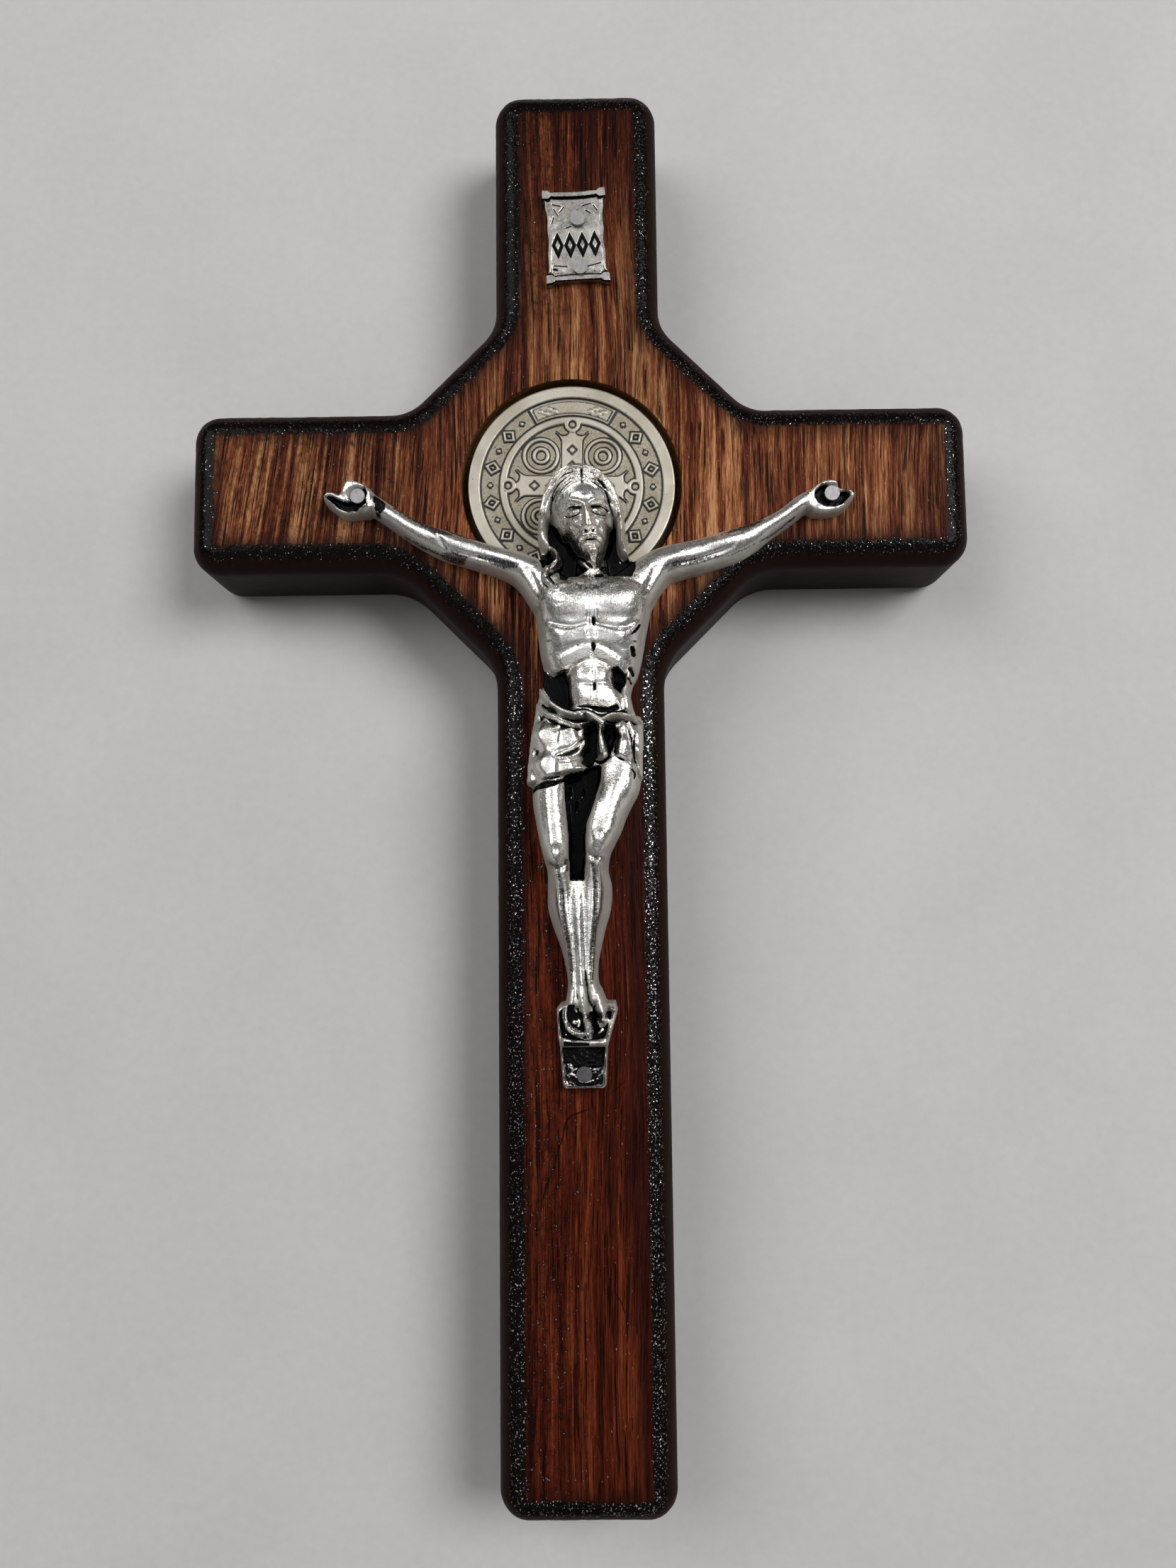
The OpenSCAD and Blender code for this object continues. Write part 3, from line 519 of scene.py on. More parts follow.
def hollow(corners, floor, soft=0.25, paint=1.0):
    # sinks the relief to a floor within a polygon and fills it with black
    window = windowOf(corners, 0.8)
    depth = polygonDepth(corners, window)
    share = softStep(-soft * 0.4, soft, depth)
    low = np.minimum(relief[window], floor)
    relief[window] = relief[window] * (1 - share) + low * share
    black[window] = np.maximum(black[window], paint * softStep(-0.12, 0.12, depth))


def pit(rows, sink=0.5):
    # rows: across, up, half width; a black groove or spot along them
    path = splinePath(rows, 6 * max(len(rows), 2))
    window = windowOf(path, path[:, 2].max() + 0.5)
    d, side, far, other = alongPath(path, window)
    w = other[..., 0]
    share = softStep(1.25, 0.6, d / np.maximum(w, 0.05))
    relief[window] -= sink * share * (inside[window] > 0)
    black[window] = np.maximum(black[window], softStep(1.1, 0.85, d / np.maximum(w, 0.05)))


def darkFilmAndShade(rows):
    # rows: across, up, half width, share; a thin film of black that the metal's grain breaks up, part patina and part
    # painted shade
    path = splinePath(rows, 6 * max(len(rows), 2))
    window = windowOf(path, 2 * path[:, 2].max())
    d, side, far, other = alongPath(path, window)
    filmAndShade[window] = np.maximum(filmAndShade[window], other[..., 1] * np.exp(-(d / np.maximum(other[..., 0], 0.05)) ** 2))


def blurred(field, width):
    # mean over a bell curve of the given width, by Fourier transform
    fy = np.fft.fftfreq(field.shape[0])[:, None]
    fx = np.fft.rfftfreq(field.shape[1])[None]
    bell = np.exp(-2 * (math.pi * width / figure["step"]) ** 2 * (fx * fx + fy * fy))
    return np.fft.irfft2(np.fft.rfft2(field) * bell, field.shape)


# webs sunk behind the hair, the waist, the cloth and the legs
webs = [
    (2.9, [(-7.2, 69.7), (7.2, 69.7), (6.9, 73.0), (4.9, 74.1), (4.3, 78.7), (-6.5, 78.7), (-6.9, 75.0)]),
    (2.7, [(-7.2, 49.9), (6.8, 49.9), (5.4, 53.9), (6.0, 56.2), (6.4, 57.8), (-6.6, 57.8), (-6.9, 55.0)]),
    (4.4, [(-8.4, 44.0), (6.6, 44.0), (6.7, 51.2), (-7.5, 51.6)]),
    (2.5, [(-3.4, 44.3), (-3.6, 26.0), (-2.6, 11.2), (0, 11.2), (0.2, 26.0), (-0.4, 34.0), (1.6, 44.3)]),
]
for level, corners in webs:
    addPanel(corners, [(0, 0, level)], edge=0.3, drop=0.6)

# trunk and belly
torso = [(55.3, 1.0, 4.3, 3.4), (56.3, 0.6, 5.6, 4.8), (57.4, 0.2, 6.5, 6.0), (58.9, 0.15, 6.95, 6.8),
         (60.6, 0.15, 7.3, 7.4), (62.4, 0.2, 7.55, 7.8), (64.1, 0.3, 7.8, 7.9), (65.1, 0.35, 7.95, 8.2),
         (66.7, 0.4, 8.3, 8.2), (68.4, 0.45, 8.85, 7.7), (69.8, 0.3, 7.8, 6.6), (70.9, 0.3, 5.2, 5.2)]
addTrunk(torso, wall=0.8, foot=0.55, power=3.0)
addTrunk([(49.8, 1.1, 4.0, 6.2), (51.5, 1.1, 4.2, 6.7), (53.0, 0.9, 4.0, 7.0), (54.2, 0.55, 3.7, 7.1),
          (55.0, 0.2, 3.4, 7.1), (56.0, 0.05, 3.3, 7.0), (57.5, 0.15, 3.7, 6.8), (59.5, 0.2, 3.9, 6.8),
          (62.5, 0.25, 3.9, 6.6)], wall=0.25, foot=0.66, power=2.6)
addLimb([(5.3, 57.2, 0.7, 5.4), (4.7, 54.9, 0.8, 5.6), (4.7, 53.4, 1.0, 6.2), (4.9, 51.9, 1.0, 6.4)], wall=0.25)

# arms and hands
leftArm = [(-5.5, 68.6, 3.3, 6.7), (-7.8, 71.1, 2.7, 6.1), (-10.0, 72.6, 2.25, 5.3), (-12.5, 73.6, 2.0, 4.8),
           (-15.0, 74.45, 1.95, 4.5), (-17.5, 75.3, 1.98, 4.4), (-20.0, 76.15, 2.05, 4.3),
           (-22.5, 77.2, 1.8, 4.1), (-25.0, 78.5, 1.55, 3.9), (-27.5, 80.15, 1.42, 3.7),
           (-30.0, 81.9, 1.42, 3.5), (-31.2, 82.6, 1.5, 3.3)]
rightArm = [(5.7, 68.6, 3.5, 6.7), (8.2, 71.2, 2.85, 6.1), (10.0, 72.6, 2.6, 5.4), (12.5, 73.5, 2.5, 4.9),
            (15.0, 74.05, 2.4, 4.7), (17.5, 74.8, 2.35, 4.5), (20.0, 75.6, 2.3, 4.4),
            (22.5, 76.65, 1.98, 4.2), (25.0, 78.05, 1.52, 4.0), (27.5, 79.6, 1.36, 3.8),
            (30.0, 81.5, 1.4, 3.5), (31.4, 82.2, 1.5, 3.3)]
addLimb(leftArm, wall=0.25, foot=0.55, power=2.2)
addLimb(rightArm, wall=0.25, foot=0.55, power=2.2)

leftHand = [(-30.6, 83.9), (-31.7, 84.9), (-33.0, 85.45), (-34.0, 85.6), (-34.6, 85.05), (-35.0, 84.0),
            (-35.4, 83.5), (-36.2, 83.9), (-37.2, 83.95), (-37.8, 83.2), (-37.4, 82.3), (-36.8, 81.8),
            (-36.0, 81.15), (-35.0, 80.5), (-34.0, 80.3), (-32.5, 80.5), (-31.2, 80.6), (-30.4, 81.3)]
rightHand = [(30.6, 82.8), (31.3, 83.3), (32.0, 83.95), (33.0, 84.55), (34.0, 84.75), (35.1, 84.5),
             (35.3, 83.6), (36.1, 83.2), (37.0, 83.3), (37.7, 82.6), (37.1, 81.6), (36.0, 80.5),
             (35.0, 80.0), (33.5, 79.8), (31.5, 79.9), (30.6, 80.6)]
addPanel(leftHand, [(-31, 82.5, 3.6), (-33.5, 81, 3.1), (-37, 83, 3.1), (-34, 85, 3.3)], edge=0.45, drop=0.6)
addPanel(rightHand, [(31, 82, 3.6), (34, 80.5, 3.1), (37, 82.5, 3.1), (34.5, 84.3, 3.3)], edge=0.45, drop=0.6)

# legs; the two last values are the widths of the wall at the left and the right
leftLeg = [(-5.0, 46.4, 1.9, 5.4, 0.5, 0.2), (-5.5, 43.0, 2.6, 6.4, 0.7, 0.2), (-5.75, 40.0, 2.6, 6.9, 0.7, 0.2),
           (-5.5, 37.0, 2.42, 7.25, 0.6, 0.2), (-5.15, 34.0, 2.2, 7.8, 0.55, 0.2), (-4.9, 32.0, 1.95, 8.1, 0.6, 0.2),
           (-4.55, 30.0, 1.8, 7.2, 0.9, 0.2), (-4.35, 27.0, 2.0, 6.2, 1.25, 0.2), (-4.25, 25.0, 2.05, 6.0, 1.35, 0.2),
           (-3.75, 22.5, 1.85, 5.8, 1.2, 0.2), (-3.2, 20.0, 1.5, 5.5, 0.85, 0.2), (-2.85, 17.5, 1.2, 5.2, 0.55, 0.2),
           (-2.6, 15.0, 1.05, 5.2, 0.35, 0.2), (-2.4, 12.5, 1.1, 5.4, 0.3, 0.2)]
rightLeg = [(4.1, 48.2, 1.9, 5.4, 0.2, 0.6), (4.0, 45.0, 2.8, 6.4, 0.2, 0.8), (3.75, 42.0, 3.0, 7.1, 0.2, 0.7),
            (3.05, 40.0, 2.75, 7.5, 0.2, 0.6), (2.2, 38.0, 2.65, 7.9, 0.2, 0.6), (1.5, 36.0, 2.6, 8.2, 0.2, 0.55),
            (0.95, 34.0, 2.2, 8.5, 0.2, 0.5), (0.6, 32.3, 1.85, 8.1, 0.2, 0.6), (0.35, 30.0, 1.8, 7.0, 0.2, 1.0),
            (0.3, 27.7, 2.3, 6.2, 0.2, 1.3), (0.2, 25.0, 2.25, 6.0, 0.2, 1.4), (-0.1, 22.5, 1.85, 5.8, 0.2, 1.25),
            (-0.35, 20.0, 1.5, 5.5, 0.2, 0.85), (-0.5, 17.5, 1.15, 5.25, 0.2, 0.5), (-0.4, 15.0, 1.0, 5.25, 0.2, 0.4),
            (0.1, 12.8, 1.0, 5.2, 0.2, 0.3)]
shinFill = [(-2.2, 28.7, 1.2, 5.7), (-2.1, 25.0, 1.7, 5.9), (-1.9, 20.0, 1.3, 5.6), (-1.6, 15.0, 1.0, 5.2)]
addLimb(leftLeg, foot=0.72, power=2.6)
addLimb(rightLeg, foot=0.72, power=2.6)
addLimb(shinFill, wall=0.3, foot=0.8, power=3.0)
addLimb([(-1.9, 17.0, 0.8, 5.7), (-1.6, 13.5, 0.75, 6.2), (-1.15, 10.5, 0.7, 6.6), (-0.8, 8.6, 0.75, 6.4),
         (-0.75, 7.9, 0.6, 6.0)], wall=0.2, foot=0.7)
addLimb([(-2.9, 14.0, 0.7, 5.6), (-3.1, 12.0, 0.8, 5.6), (-3.0, 10.4, 0.6, 5.2)], wall=0.2, foot=0.6)
addLimb([(0.3, 13.4, 0.9, 5.4), (0.9, 11.6, 0.9, 5.4), (1.15, 10.0, 0.7, 5.0)], wall=0.3, foot=0.6)

# loincloth
addPanel([(-6.9, 54.9), (-7.7, 52.5), (-8.1, 50.0), (-8.6, 47.0), (-8.9, 44.0), (-9.0, 41.9), (-8.3, 41.6),
          (-5.9, 42.1), (-3.5, 42.8), (-1.9, 43.1), (-1.0, 43.2), (-0.4, 43.9), (-1.0, 44.1), (-1.5, 44.6),
          (-1.0, 45.8), (-0.5, 47.0), (-0.4, 49.2), (-2.0, 50.6), (-4.6, 51.6), (-5.8, 53.0)],
         [(-8.6, 46, 5.4), (-7.8, 51, 5.0), (-6.0, 48, 7.9), (-6.0, 44, 8.4), (-3.5, 44, 8.0), (-3.0, 48, 7.6),
          (-1, 48.5, 6.8), (-1.5, 44.5, 7.3), (-5, 51, 6.8), (-8.6, 42.5, 5.9)], edge=0.8, drop=0.6)
addPanel([(3.0, 50.0), (3.4, 48.0), (3.2, 46.0), (3.3, 45.2), (4.6, 44.5), (5.6, 43.6), (6.1, 43.2),
          (6.5, 42.4), (7.0, 42.6), (7.1, 45.0), (7.15, 49.0), (6.9, 51.0), (5.0, 51.2)],
         [(4.3, 46.5, 7.9), (4.2, 49.3, 7.0), (5.4, 46.5, 7.4), (6.4, 47, 6.2), (6.8, 44, 5.0), (6.9, 50, 5.2)],
         edge=0.7, drop=0.6)
for row, count in [
        ([(-7.0, 54.8, 0.35, 5.8), (-6.6, 53.9, 0.50, 7.0), (-5.6, 52.6, 0.64, 8.2), (-4.2, 51.5, 0.68, 8.7),
          (-2.8, 50.9, 0.66, 9.0), (-1.2, 50.6, 0.50, 8.8)], 0),
        ([(-7.4, 52.6, 0.4, 6.0), (-6.3, 51.3, 0.55, 7.6), (-4.8, 50.4, 0.66, 8.6), (-3.2, 49.7, 0.70, 9.0),
          (-1.5, 49.4, 0.55, 9.0), (-0.2, 49.9, 0.45, 8.5)], 1),
        ([(-2.0, 51.2, 0.42, 8.4), (-0.5, 50.9, 0.65, 9.3), (0.7, 50.1, 0.75, 9.6), (1.9, 49.3, 0.70, 9.5),
          (3.2, 49.2, 0.60, 9.0), (4.2, 49.8, 0.40, 8.4)], 1),
        ([(0.6, 49.4, 0.35, 8.6), (1.5, 50.0, 0.52, 9.1), (2.6, 50.6, 0.60, 9.1), (3.9, 50.7, 0.62, 8.8),
          (5.3, 50.5, 0.62, 8.2), (6.8, 50.0, 0.50, 6.6)], 1)]:
    addLimb(row, wall=0.15, foot=0.6, strands=count, groove=0.15, fillet=0.06, wave=0.2)
addLimb([(1.1, 49.9, 0.42, 8.6), (1.2, 48.2, 0.58, 8.9), (1.4, 46.6, 0.85, 9.0), (1.5, 45.7, 0.92, 8.8)],
        wall=0.15, fillet=0.1)

# foot block and tab
block = [(-5.25, 11.2), (-4.6, 12.0), (-3.5, 12.25), (2.9, 12.25), (3.2, 11.0), (2.6, 9.0), (2.0, 6.9),
         (1.75, 6.2), (-4.8, 6.2), (-5.0, 7.2)]
tab = [(-4.85, 6.5), (-4.45, 0.9), (-4.1, 0.42), (1.05, 0.42), (1.5, 0.9), (1.75, 6.5)]
addPanel(tab, [(0, 0, 1.75)], edge=0.35, drop=0.5)
addPanel(block, [(-1, 11, 3.6), (-1, 7, 3.4)], edge=0.4, drop=0.6)

# neck, head, beard and hair
addLimb([(0.5, 66.7, 3.2, 7.2), (0.5, 69.2, 2.7, 6.8), (0.35, 71.5, 2.4, 6.2), (0.2, 75.0, 2.2, 5.8)],
        wall=0.3, foot=0.6)
addLimb([(0.75, 71.5, 0.9, 7.4), (0.7, 72.3, 1.7, 8.3), (0.35, 74.0, 2.6, 8.95), (-0.05, 76.1, 3.35, 9.4),
         (-0.5, 78.3, 3.95, 9.55), (-0.9, 80.6, 4.4, 9.35), (-1.2, 82.7, 4.35, 8.8), (-1.5, 84.4, 3.5, 7.8),
         (-1.65, 85.4, 2.3, 6.5), (-1.7, 86.0, 1.0, 5.2)], wall=0.5, foot=0.45)
hairCrown = [(-6.1, 79.0, 0.95, 7.2), (-5.9, 80.8, 1.1, 7.6), (-5.0, 83.0, 1.25, 8.1), (-3.4, 84.5, 1.25, 8.5),
             (-1.4, 85.0, 1.15, 8.8), (0.7, 84.5, 1.2, 8.6), (2.4, 83.0, 1.25, 8.1), (3.4, 80.9, 1.15, 7.5),
             (3.9, 79.0, 0.9, 7.1)]
hairLeft = [(-5.6, 82.0, 1.0, 7.6), (-6.3, 79.8, 0.95, 7.3), (-6.6, 77.8, 0.8, 7.0), (-6.4, 75.9, 0.75, 6.8),
            (-5.7, 74.5, 0.7, 7.0), (-4.7, 73.6, 0.7, 7.3), (-4.35, 72.7, 0.72, 7.6), (-5.0, 71.7, 0.75, 7.8),
            (-5.9, 70.8, 0.8, 8.0), (-6.0, 69.7, 0.75, 8.2), (-5.2, 68.7, 0.65, 8.4), (-4.3, 68.2, 0.4, 8.4)]
hairRight = [(3.0, 82.3, 1.0, 7.8), (3.9, 80.4, 0.95, 7.3), (4.3, 78.5, 0.8, 7.0), (4.35, 76.6, 0.68, 6.7),
             (4.4, 75.2, 0.6, 6.5), (4.9, 73.9, 0.65, 6.4), (5.3, 73.2, 0.4, 6.3)]
addLimb([(-0.8, 79.2, 4.7, 8.2), (-1.1, 80.8, 5.0, 8.7), (-1.2, 82.6, 4.9, 8.9), (-1.3, 84.2, 4.0, 8.6),
         (-1.4, 85.3, 2.8, 7.6), (-1.4, 86.2, 1.3, 5.6)], wall=0.3, foot=0.5, power=2.2)
addLimb(hairCrown, wall=0.2, foot=0.5, strands=5, groove=0.3, wave=0.5)
addLimb(hairLeft, wall=0.2, foot=0.5, strands=3, groove=0.42, wave=0.5)
addLimb(hairRight, wall=0.2, foot=0.5, strands=3, groove=0.42, wave=0.5)


def locks(inner, outer, count, width, tall, wave):
    # strands between two curves: share t of the way, with a ridge each and a groove between them,
    # and the strand's offset waves along it
    a, b = splinePath(inner, 30), splinePath(outer, 30)
    along = np.linspace(0, 1, 30)
    fade = softStep(0, 0.12, along) * softStep(1, 0.85, along)

    def strand(t, k, shift, wide, high):
        line = a * (1 - t) + b * t
        line[:, 1] += wave * np.sin(along * 15 + 2.6 * k + shift)
        line[:, 0] += wave * np.cos(along * 13 + 1.9 * k + shift)
        stroke(np.column_stack([line, np.full(30, wide), high * fade])[::3], 3)
    for k in range(count):
        strand((k + 0.5) / count, k, 0.0, width, tall * (0.75 + 0.25 * math.sin(2.4 * k)))
        strand((k + 1.0) / count, k, 0.5, 0.75 * width, -1.35 * tall)


relief = blurred(relief, figure["smoothing"])
relief[inside <= 0] = 0

# hair from the parting over both temples, and the tresses at both sides
locks([(-1.0, 82.5), (-2.5, 82.2), (-3.9, 81.0), (-4.6, 79.3), (-4.9, 77.8)],
      [(-1.2, 86.2), (-3.9, 85.8), (-6.3, 83.0), (-7.2, 79.7), (-7.2, 77.0)], 8, 0.17, 0.30, 0.10)
locks([(-0.8, 82.5), (0.6, 82.3), (2.0, 81.2), (2.8, 79.6), (3.2, 78.2)],
      [(-0.6, 86.2), (1.9, 85.6), (4.0, 82.8), (4.9, 79.7), (4.9, 77.4)], 8, 0.17, 0.30, 0.10)
locks([(-5.0, 79.4), (-5.7, 77.4), (-5.6, 75.4), (-4.6, 74.2), (-3.7, 72.9), (-4.6, 71.6), (-5.4, 70.4), (-5.2, 69.3)],
      [(-6.9, 80.0), (-7.4, 77.6), (-7.1, 75.5), (-6.0, 73.9), (-5.1, 72.5), (-5.6, 71.3), (-6.5, 70.2), (-5.8, 68.6)],
      4, 0.14, 0.30, 0.08)
locks([(3.5, 79.6), (3.7, 77.6), (3.8, 75.8), (4.4, 74.0), (5.2, 73.0)],
      [(4.9, 79.8), (5.2, 77.6), (5.0, 75.8), (5.6, 74.4), (6.0, 73.6)], 3, 0.14, 0.28, 0.08)
# cushions on chest, ribs, belly, thighs, knees and arms, then furrows and ridges over the body
for row in [(-4.0, 66.9, 4.3, 3.0, -12, 0.42), (4.4, 66.9, 4.3, 3.0, 12, 0.42), (-3.9, 61.6, 2.7, 1.7, 10, 0.30),
            (4.2, 61.6, 2.7, 1.7, -10, 0.30), (-1.3, 56.3, 1.7, 1.6, 0, 0.25), (1.6, 56.3, 1.7, 1.6, 0, 0.25),
            (0.1, 53.2, 2.6, 1.8, 0, 0.35), (-5.3, 40.5, 1.6, 5.0, 4, 0.25), (2.9, 40.0, 1.7, 4.5, -14, 0.35),
            (-5.0, 32.2, 1.3, 1.6, 0, 0.45), (0.9, 34.2, 1.5, 1.7, 0, 0.40), (-20.0, 76.4, 3.6, 1.3, 155, 0.35),
            (19.0, 75.6, 4.0, 1.5, 15, 0.35), (-11.0, 73.3, 3.5, 1.4, 160, 0.2), (11.5, 73.2, 3.5, 1.5, 20, 0.2)]:
    swell(*row)
for rows in [
        [(-6.6, 64.5, 0.5, -0.1), (-4.6, 63.5, 0.45, -0.38), (-2.6, 63.0, 0.4, -0.30), (-0.6, 63.4, 0.3, -0.2)],
        [(0.8, 63.4, 0.3, -0.2), (2.7, 62.9, 0.4, -0.30), (4.7, 62.9, 0.45, -0.36), (6.6, 64.2, 0.4, -0.3)],
        [(-0.15, 66.6, 0.25, -0.10), (-0.25, 64.0, 0.25, -0.22), (-0.25, 61.5, 0.22, -0.16)],
        [(0.75, 66.6, 0.25, -0.10), (0.8, 64.0, 0.25, -0.22), (0.75, 61.5, 0.22, -0.16)],
        [(-5.0, 58.9, 0.45, -0.10), (-3.6, 59.7, 0.45, -0.28), (-1.8, 60.5, 0.42, -0.30), (0.1, 60.7, 0.4, -0.2),
         (1.6, 60.4, 0.42, -0.28), (3.2, 59.6, 0.45, -0.30), (4.9, 58.2, 0.45, -0.20)],
        [(-4.9, 56.9, 0.4, -0.2), (-3.3, 56.8, 0.4, -0.45), (-2.1, 57.7, 0.35, -0.35), (-0.6, 58.5, 0.35, -0.2)],
        [(0.9, 58.5, 0.35, -0.2), (2.2, 57.9, 0.35, -0.35), (3.3, 56.9, 0.35, -0.3)],
        [(0.3, 60.4, 0.2, -0.12), (0.35, 57.5, 0.2, -0.2), (0.45, 55.2, 0.2, -0.2), (0.3, 52.4, 0.2, -0.08)],
        [(-2.6, 55.2, 0.3, -0.12), (-1.2, 55.3, 0.3, -0.2), (0.2, 55.2, 0.25, -0.2), (2.4, 55.4, 0.3, -0.12)],
        [(-7.2, 62.3, 0.35, -0.15), (-6.0, 61.6, 0.3, -0.3), (-4.8, 61.5, 0.3, -0.12)],
        [(-7.0, 60.3, 0.35, -0.15), (-5.8, 59.8, 0.3, -0.3), (-4.7, 59.9, 0.3, -0.12)],
        [(-6.7, 58.6, 0.35, -0.15), (-5.5, 58.1, 0.3, -0.3)],
        [(7.5, 62.3, 0.35, -0.2), (6.4, 61.4, 0.3, -0.35), (5.0, 61.2, 0.3, -0.15)],
        [(7.2, 60.2, 0.35, -0.2), (6.1, 59.3, 0.3, -0.3)],
        # shins, knees and thighs
        [(-4.8, 30.0, 0.32, -0.2), (-4.3, 27.5, 0.32, -0.35), (-4.1, 24.2, 0.3, -0.38), (-3.5, 20.5, 0.3, -0.35),
         (-3.0, 16.5, 0.25, -0.25)],
        [(0.0, 30.6, 0.32, -0.2), (0.4, 28.5, 0.32, -0.35), (0.3, 24.5, 0.32, -0.4), (-0.2, 20.0, 0.3, -0.35),
         (-0.5, 16.5, 0.25, -0.25)],
        [(-3.2, 28.0, 0.35, -0.06), (-2.9, 23.0, 0.35, -0.10), (-2.6, 18.0, 0.3, -0.10), (-2.5, 14.5, 0.25, -0.1)],
        [(-1.4, 28.0, 0.35, -0.06), (-1.3, 23.0, 0.35, -0.10), (-1.3, 18.0, 0.3, -0.08), (-1.2, 14.5, 0.2, -0.05)],
        [(-2.2, 27.5, 0.4, 0.15), (-2.0, 22.0, 0.35, 0.22), (-1.7, 16.0, 0.3, 0.3), (-1.3, 12.0, 0.3, 0.3)],
        [(-6.2, 30.9, 0.5, -0.4), (-5.0, 30.2, 0.45, -0.55), (-3.8, 30.6, 0.4, -0.4)],
        [(-0.6, 32.2, 0.45, -0.4), (0.5, 31.6, 0.45, -0.6), (1.6, 32.2, 0.45, -0.4)],
        [(-6.9, 40.5, 0.4, -0.1), (-6.5, 36.5, 0.4, -0.25), (-6.1, 33.0, 0.35, -0.2)],
        [(0.6, 39.5, 0.45, 0.15), (0.0, 36.5, 0.45, 0.2), (-0.3, 34.5, 0.35, 0.1)],
        # cloth: hems, hanging folds, creases
        [(-0.5, 48.9, 0.35, -0.5), (-1.6, 46.7, 0.35, -0.8), (-3.0, 45.6, 0.32, -0.7), (-4.8, 45.2, 0.28, -0.3)],
        [(-0.6, 46.4, 0.28, -0.4), (-1.6, 45.3, 0.3, -0.7), (-2.9, 44.8, 0.28, -0.5), (-4.4, 44.5, 0.25, -0.2)],
        [(-1.0, 47.9, 0.35, 0.4), (-2.4, 46.5, 0.35, 0.45), (-4.2, 46.0, 0.35, 0.3)],
        [(-0.9, 45.9, 0.3, 0.35), (-2.2, 45.1, 0.3, 0.35), (-3.8, 44.9, 0.3, 0.2)],
        [(-1.4, 50.1, 0.3, -0.35), (-3.0, 49.4, 0.3, -0.35), (-4.8, 48.8, 0.3, -0.15)],
        [(-4.2, 50.3, 0.35, 0.2), (-4.8, 47.0, 0.4, 0.25), (-5.0, 43.0, 0.4, 0.2)],
        [(-8.4, 41.9, 0.3, 0.35), (-5.9, 42.5, 0.3, 0.35), (-3.3, 43.2, 0.3, 0.35), (-1.2, 43.6, 0.28, 0.5)],
        [(4.7, 50.2, 0.3, -0.2), (5.2, 48.2, 0.3, -0.6), (5.6, 46.3, 0.28, -0.7), (5.7, 44.6, 0.25, -0.5)],
        [(6.1, 49.6, 0.3, 0.3), (6.3, 47.0, 0.3, 0.4), (6.4, 44.6, 0.3, 0.3)],
        [(3.4, 45.5, 0.28, 0.3), (4.6, 44.9, 0.28, 0.35), (5.5, 44.1, 0.28, 0.35)],
        # arms: long muscles and the crook
        [(-8.4, 71.3, 0.5, -0.25), (-7.4, 69.2, 0.5, -0.35), (-6.6, 67.4, 0.45, -0.2)],
        [(9.0, 71.2, 0.5, -0.25), (8.0, 69.0, 0.5, -0.35), (7.3, 67.2, 0.45, -0.2)],
        [(-10.5, 71.9, 0.4, -0.1), (-14.0, 73.3, 0.35, -0.4), (-17.5, 74.3, 0.3, -0.35), (-19.5, 75.0, 0.3, -0.1)],
        [(11.0, 72.2, 0.4, -0.1), (14.5, 72.9, 0.35, -0.4), (18.0, 74.0, 0.3, -0.35), (20.0, 74.8, 0.3, -0.1)],
        [(-22.0, 77.8, 0.35, -0.1), (-20.6, 76.0, 0.35, -0.25), (-19.8, 74.6, 0.35, -0.15)]]:
    stroke(rows)

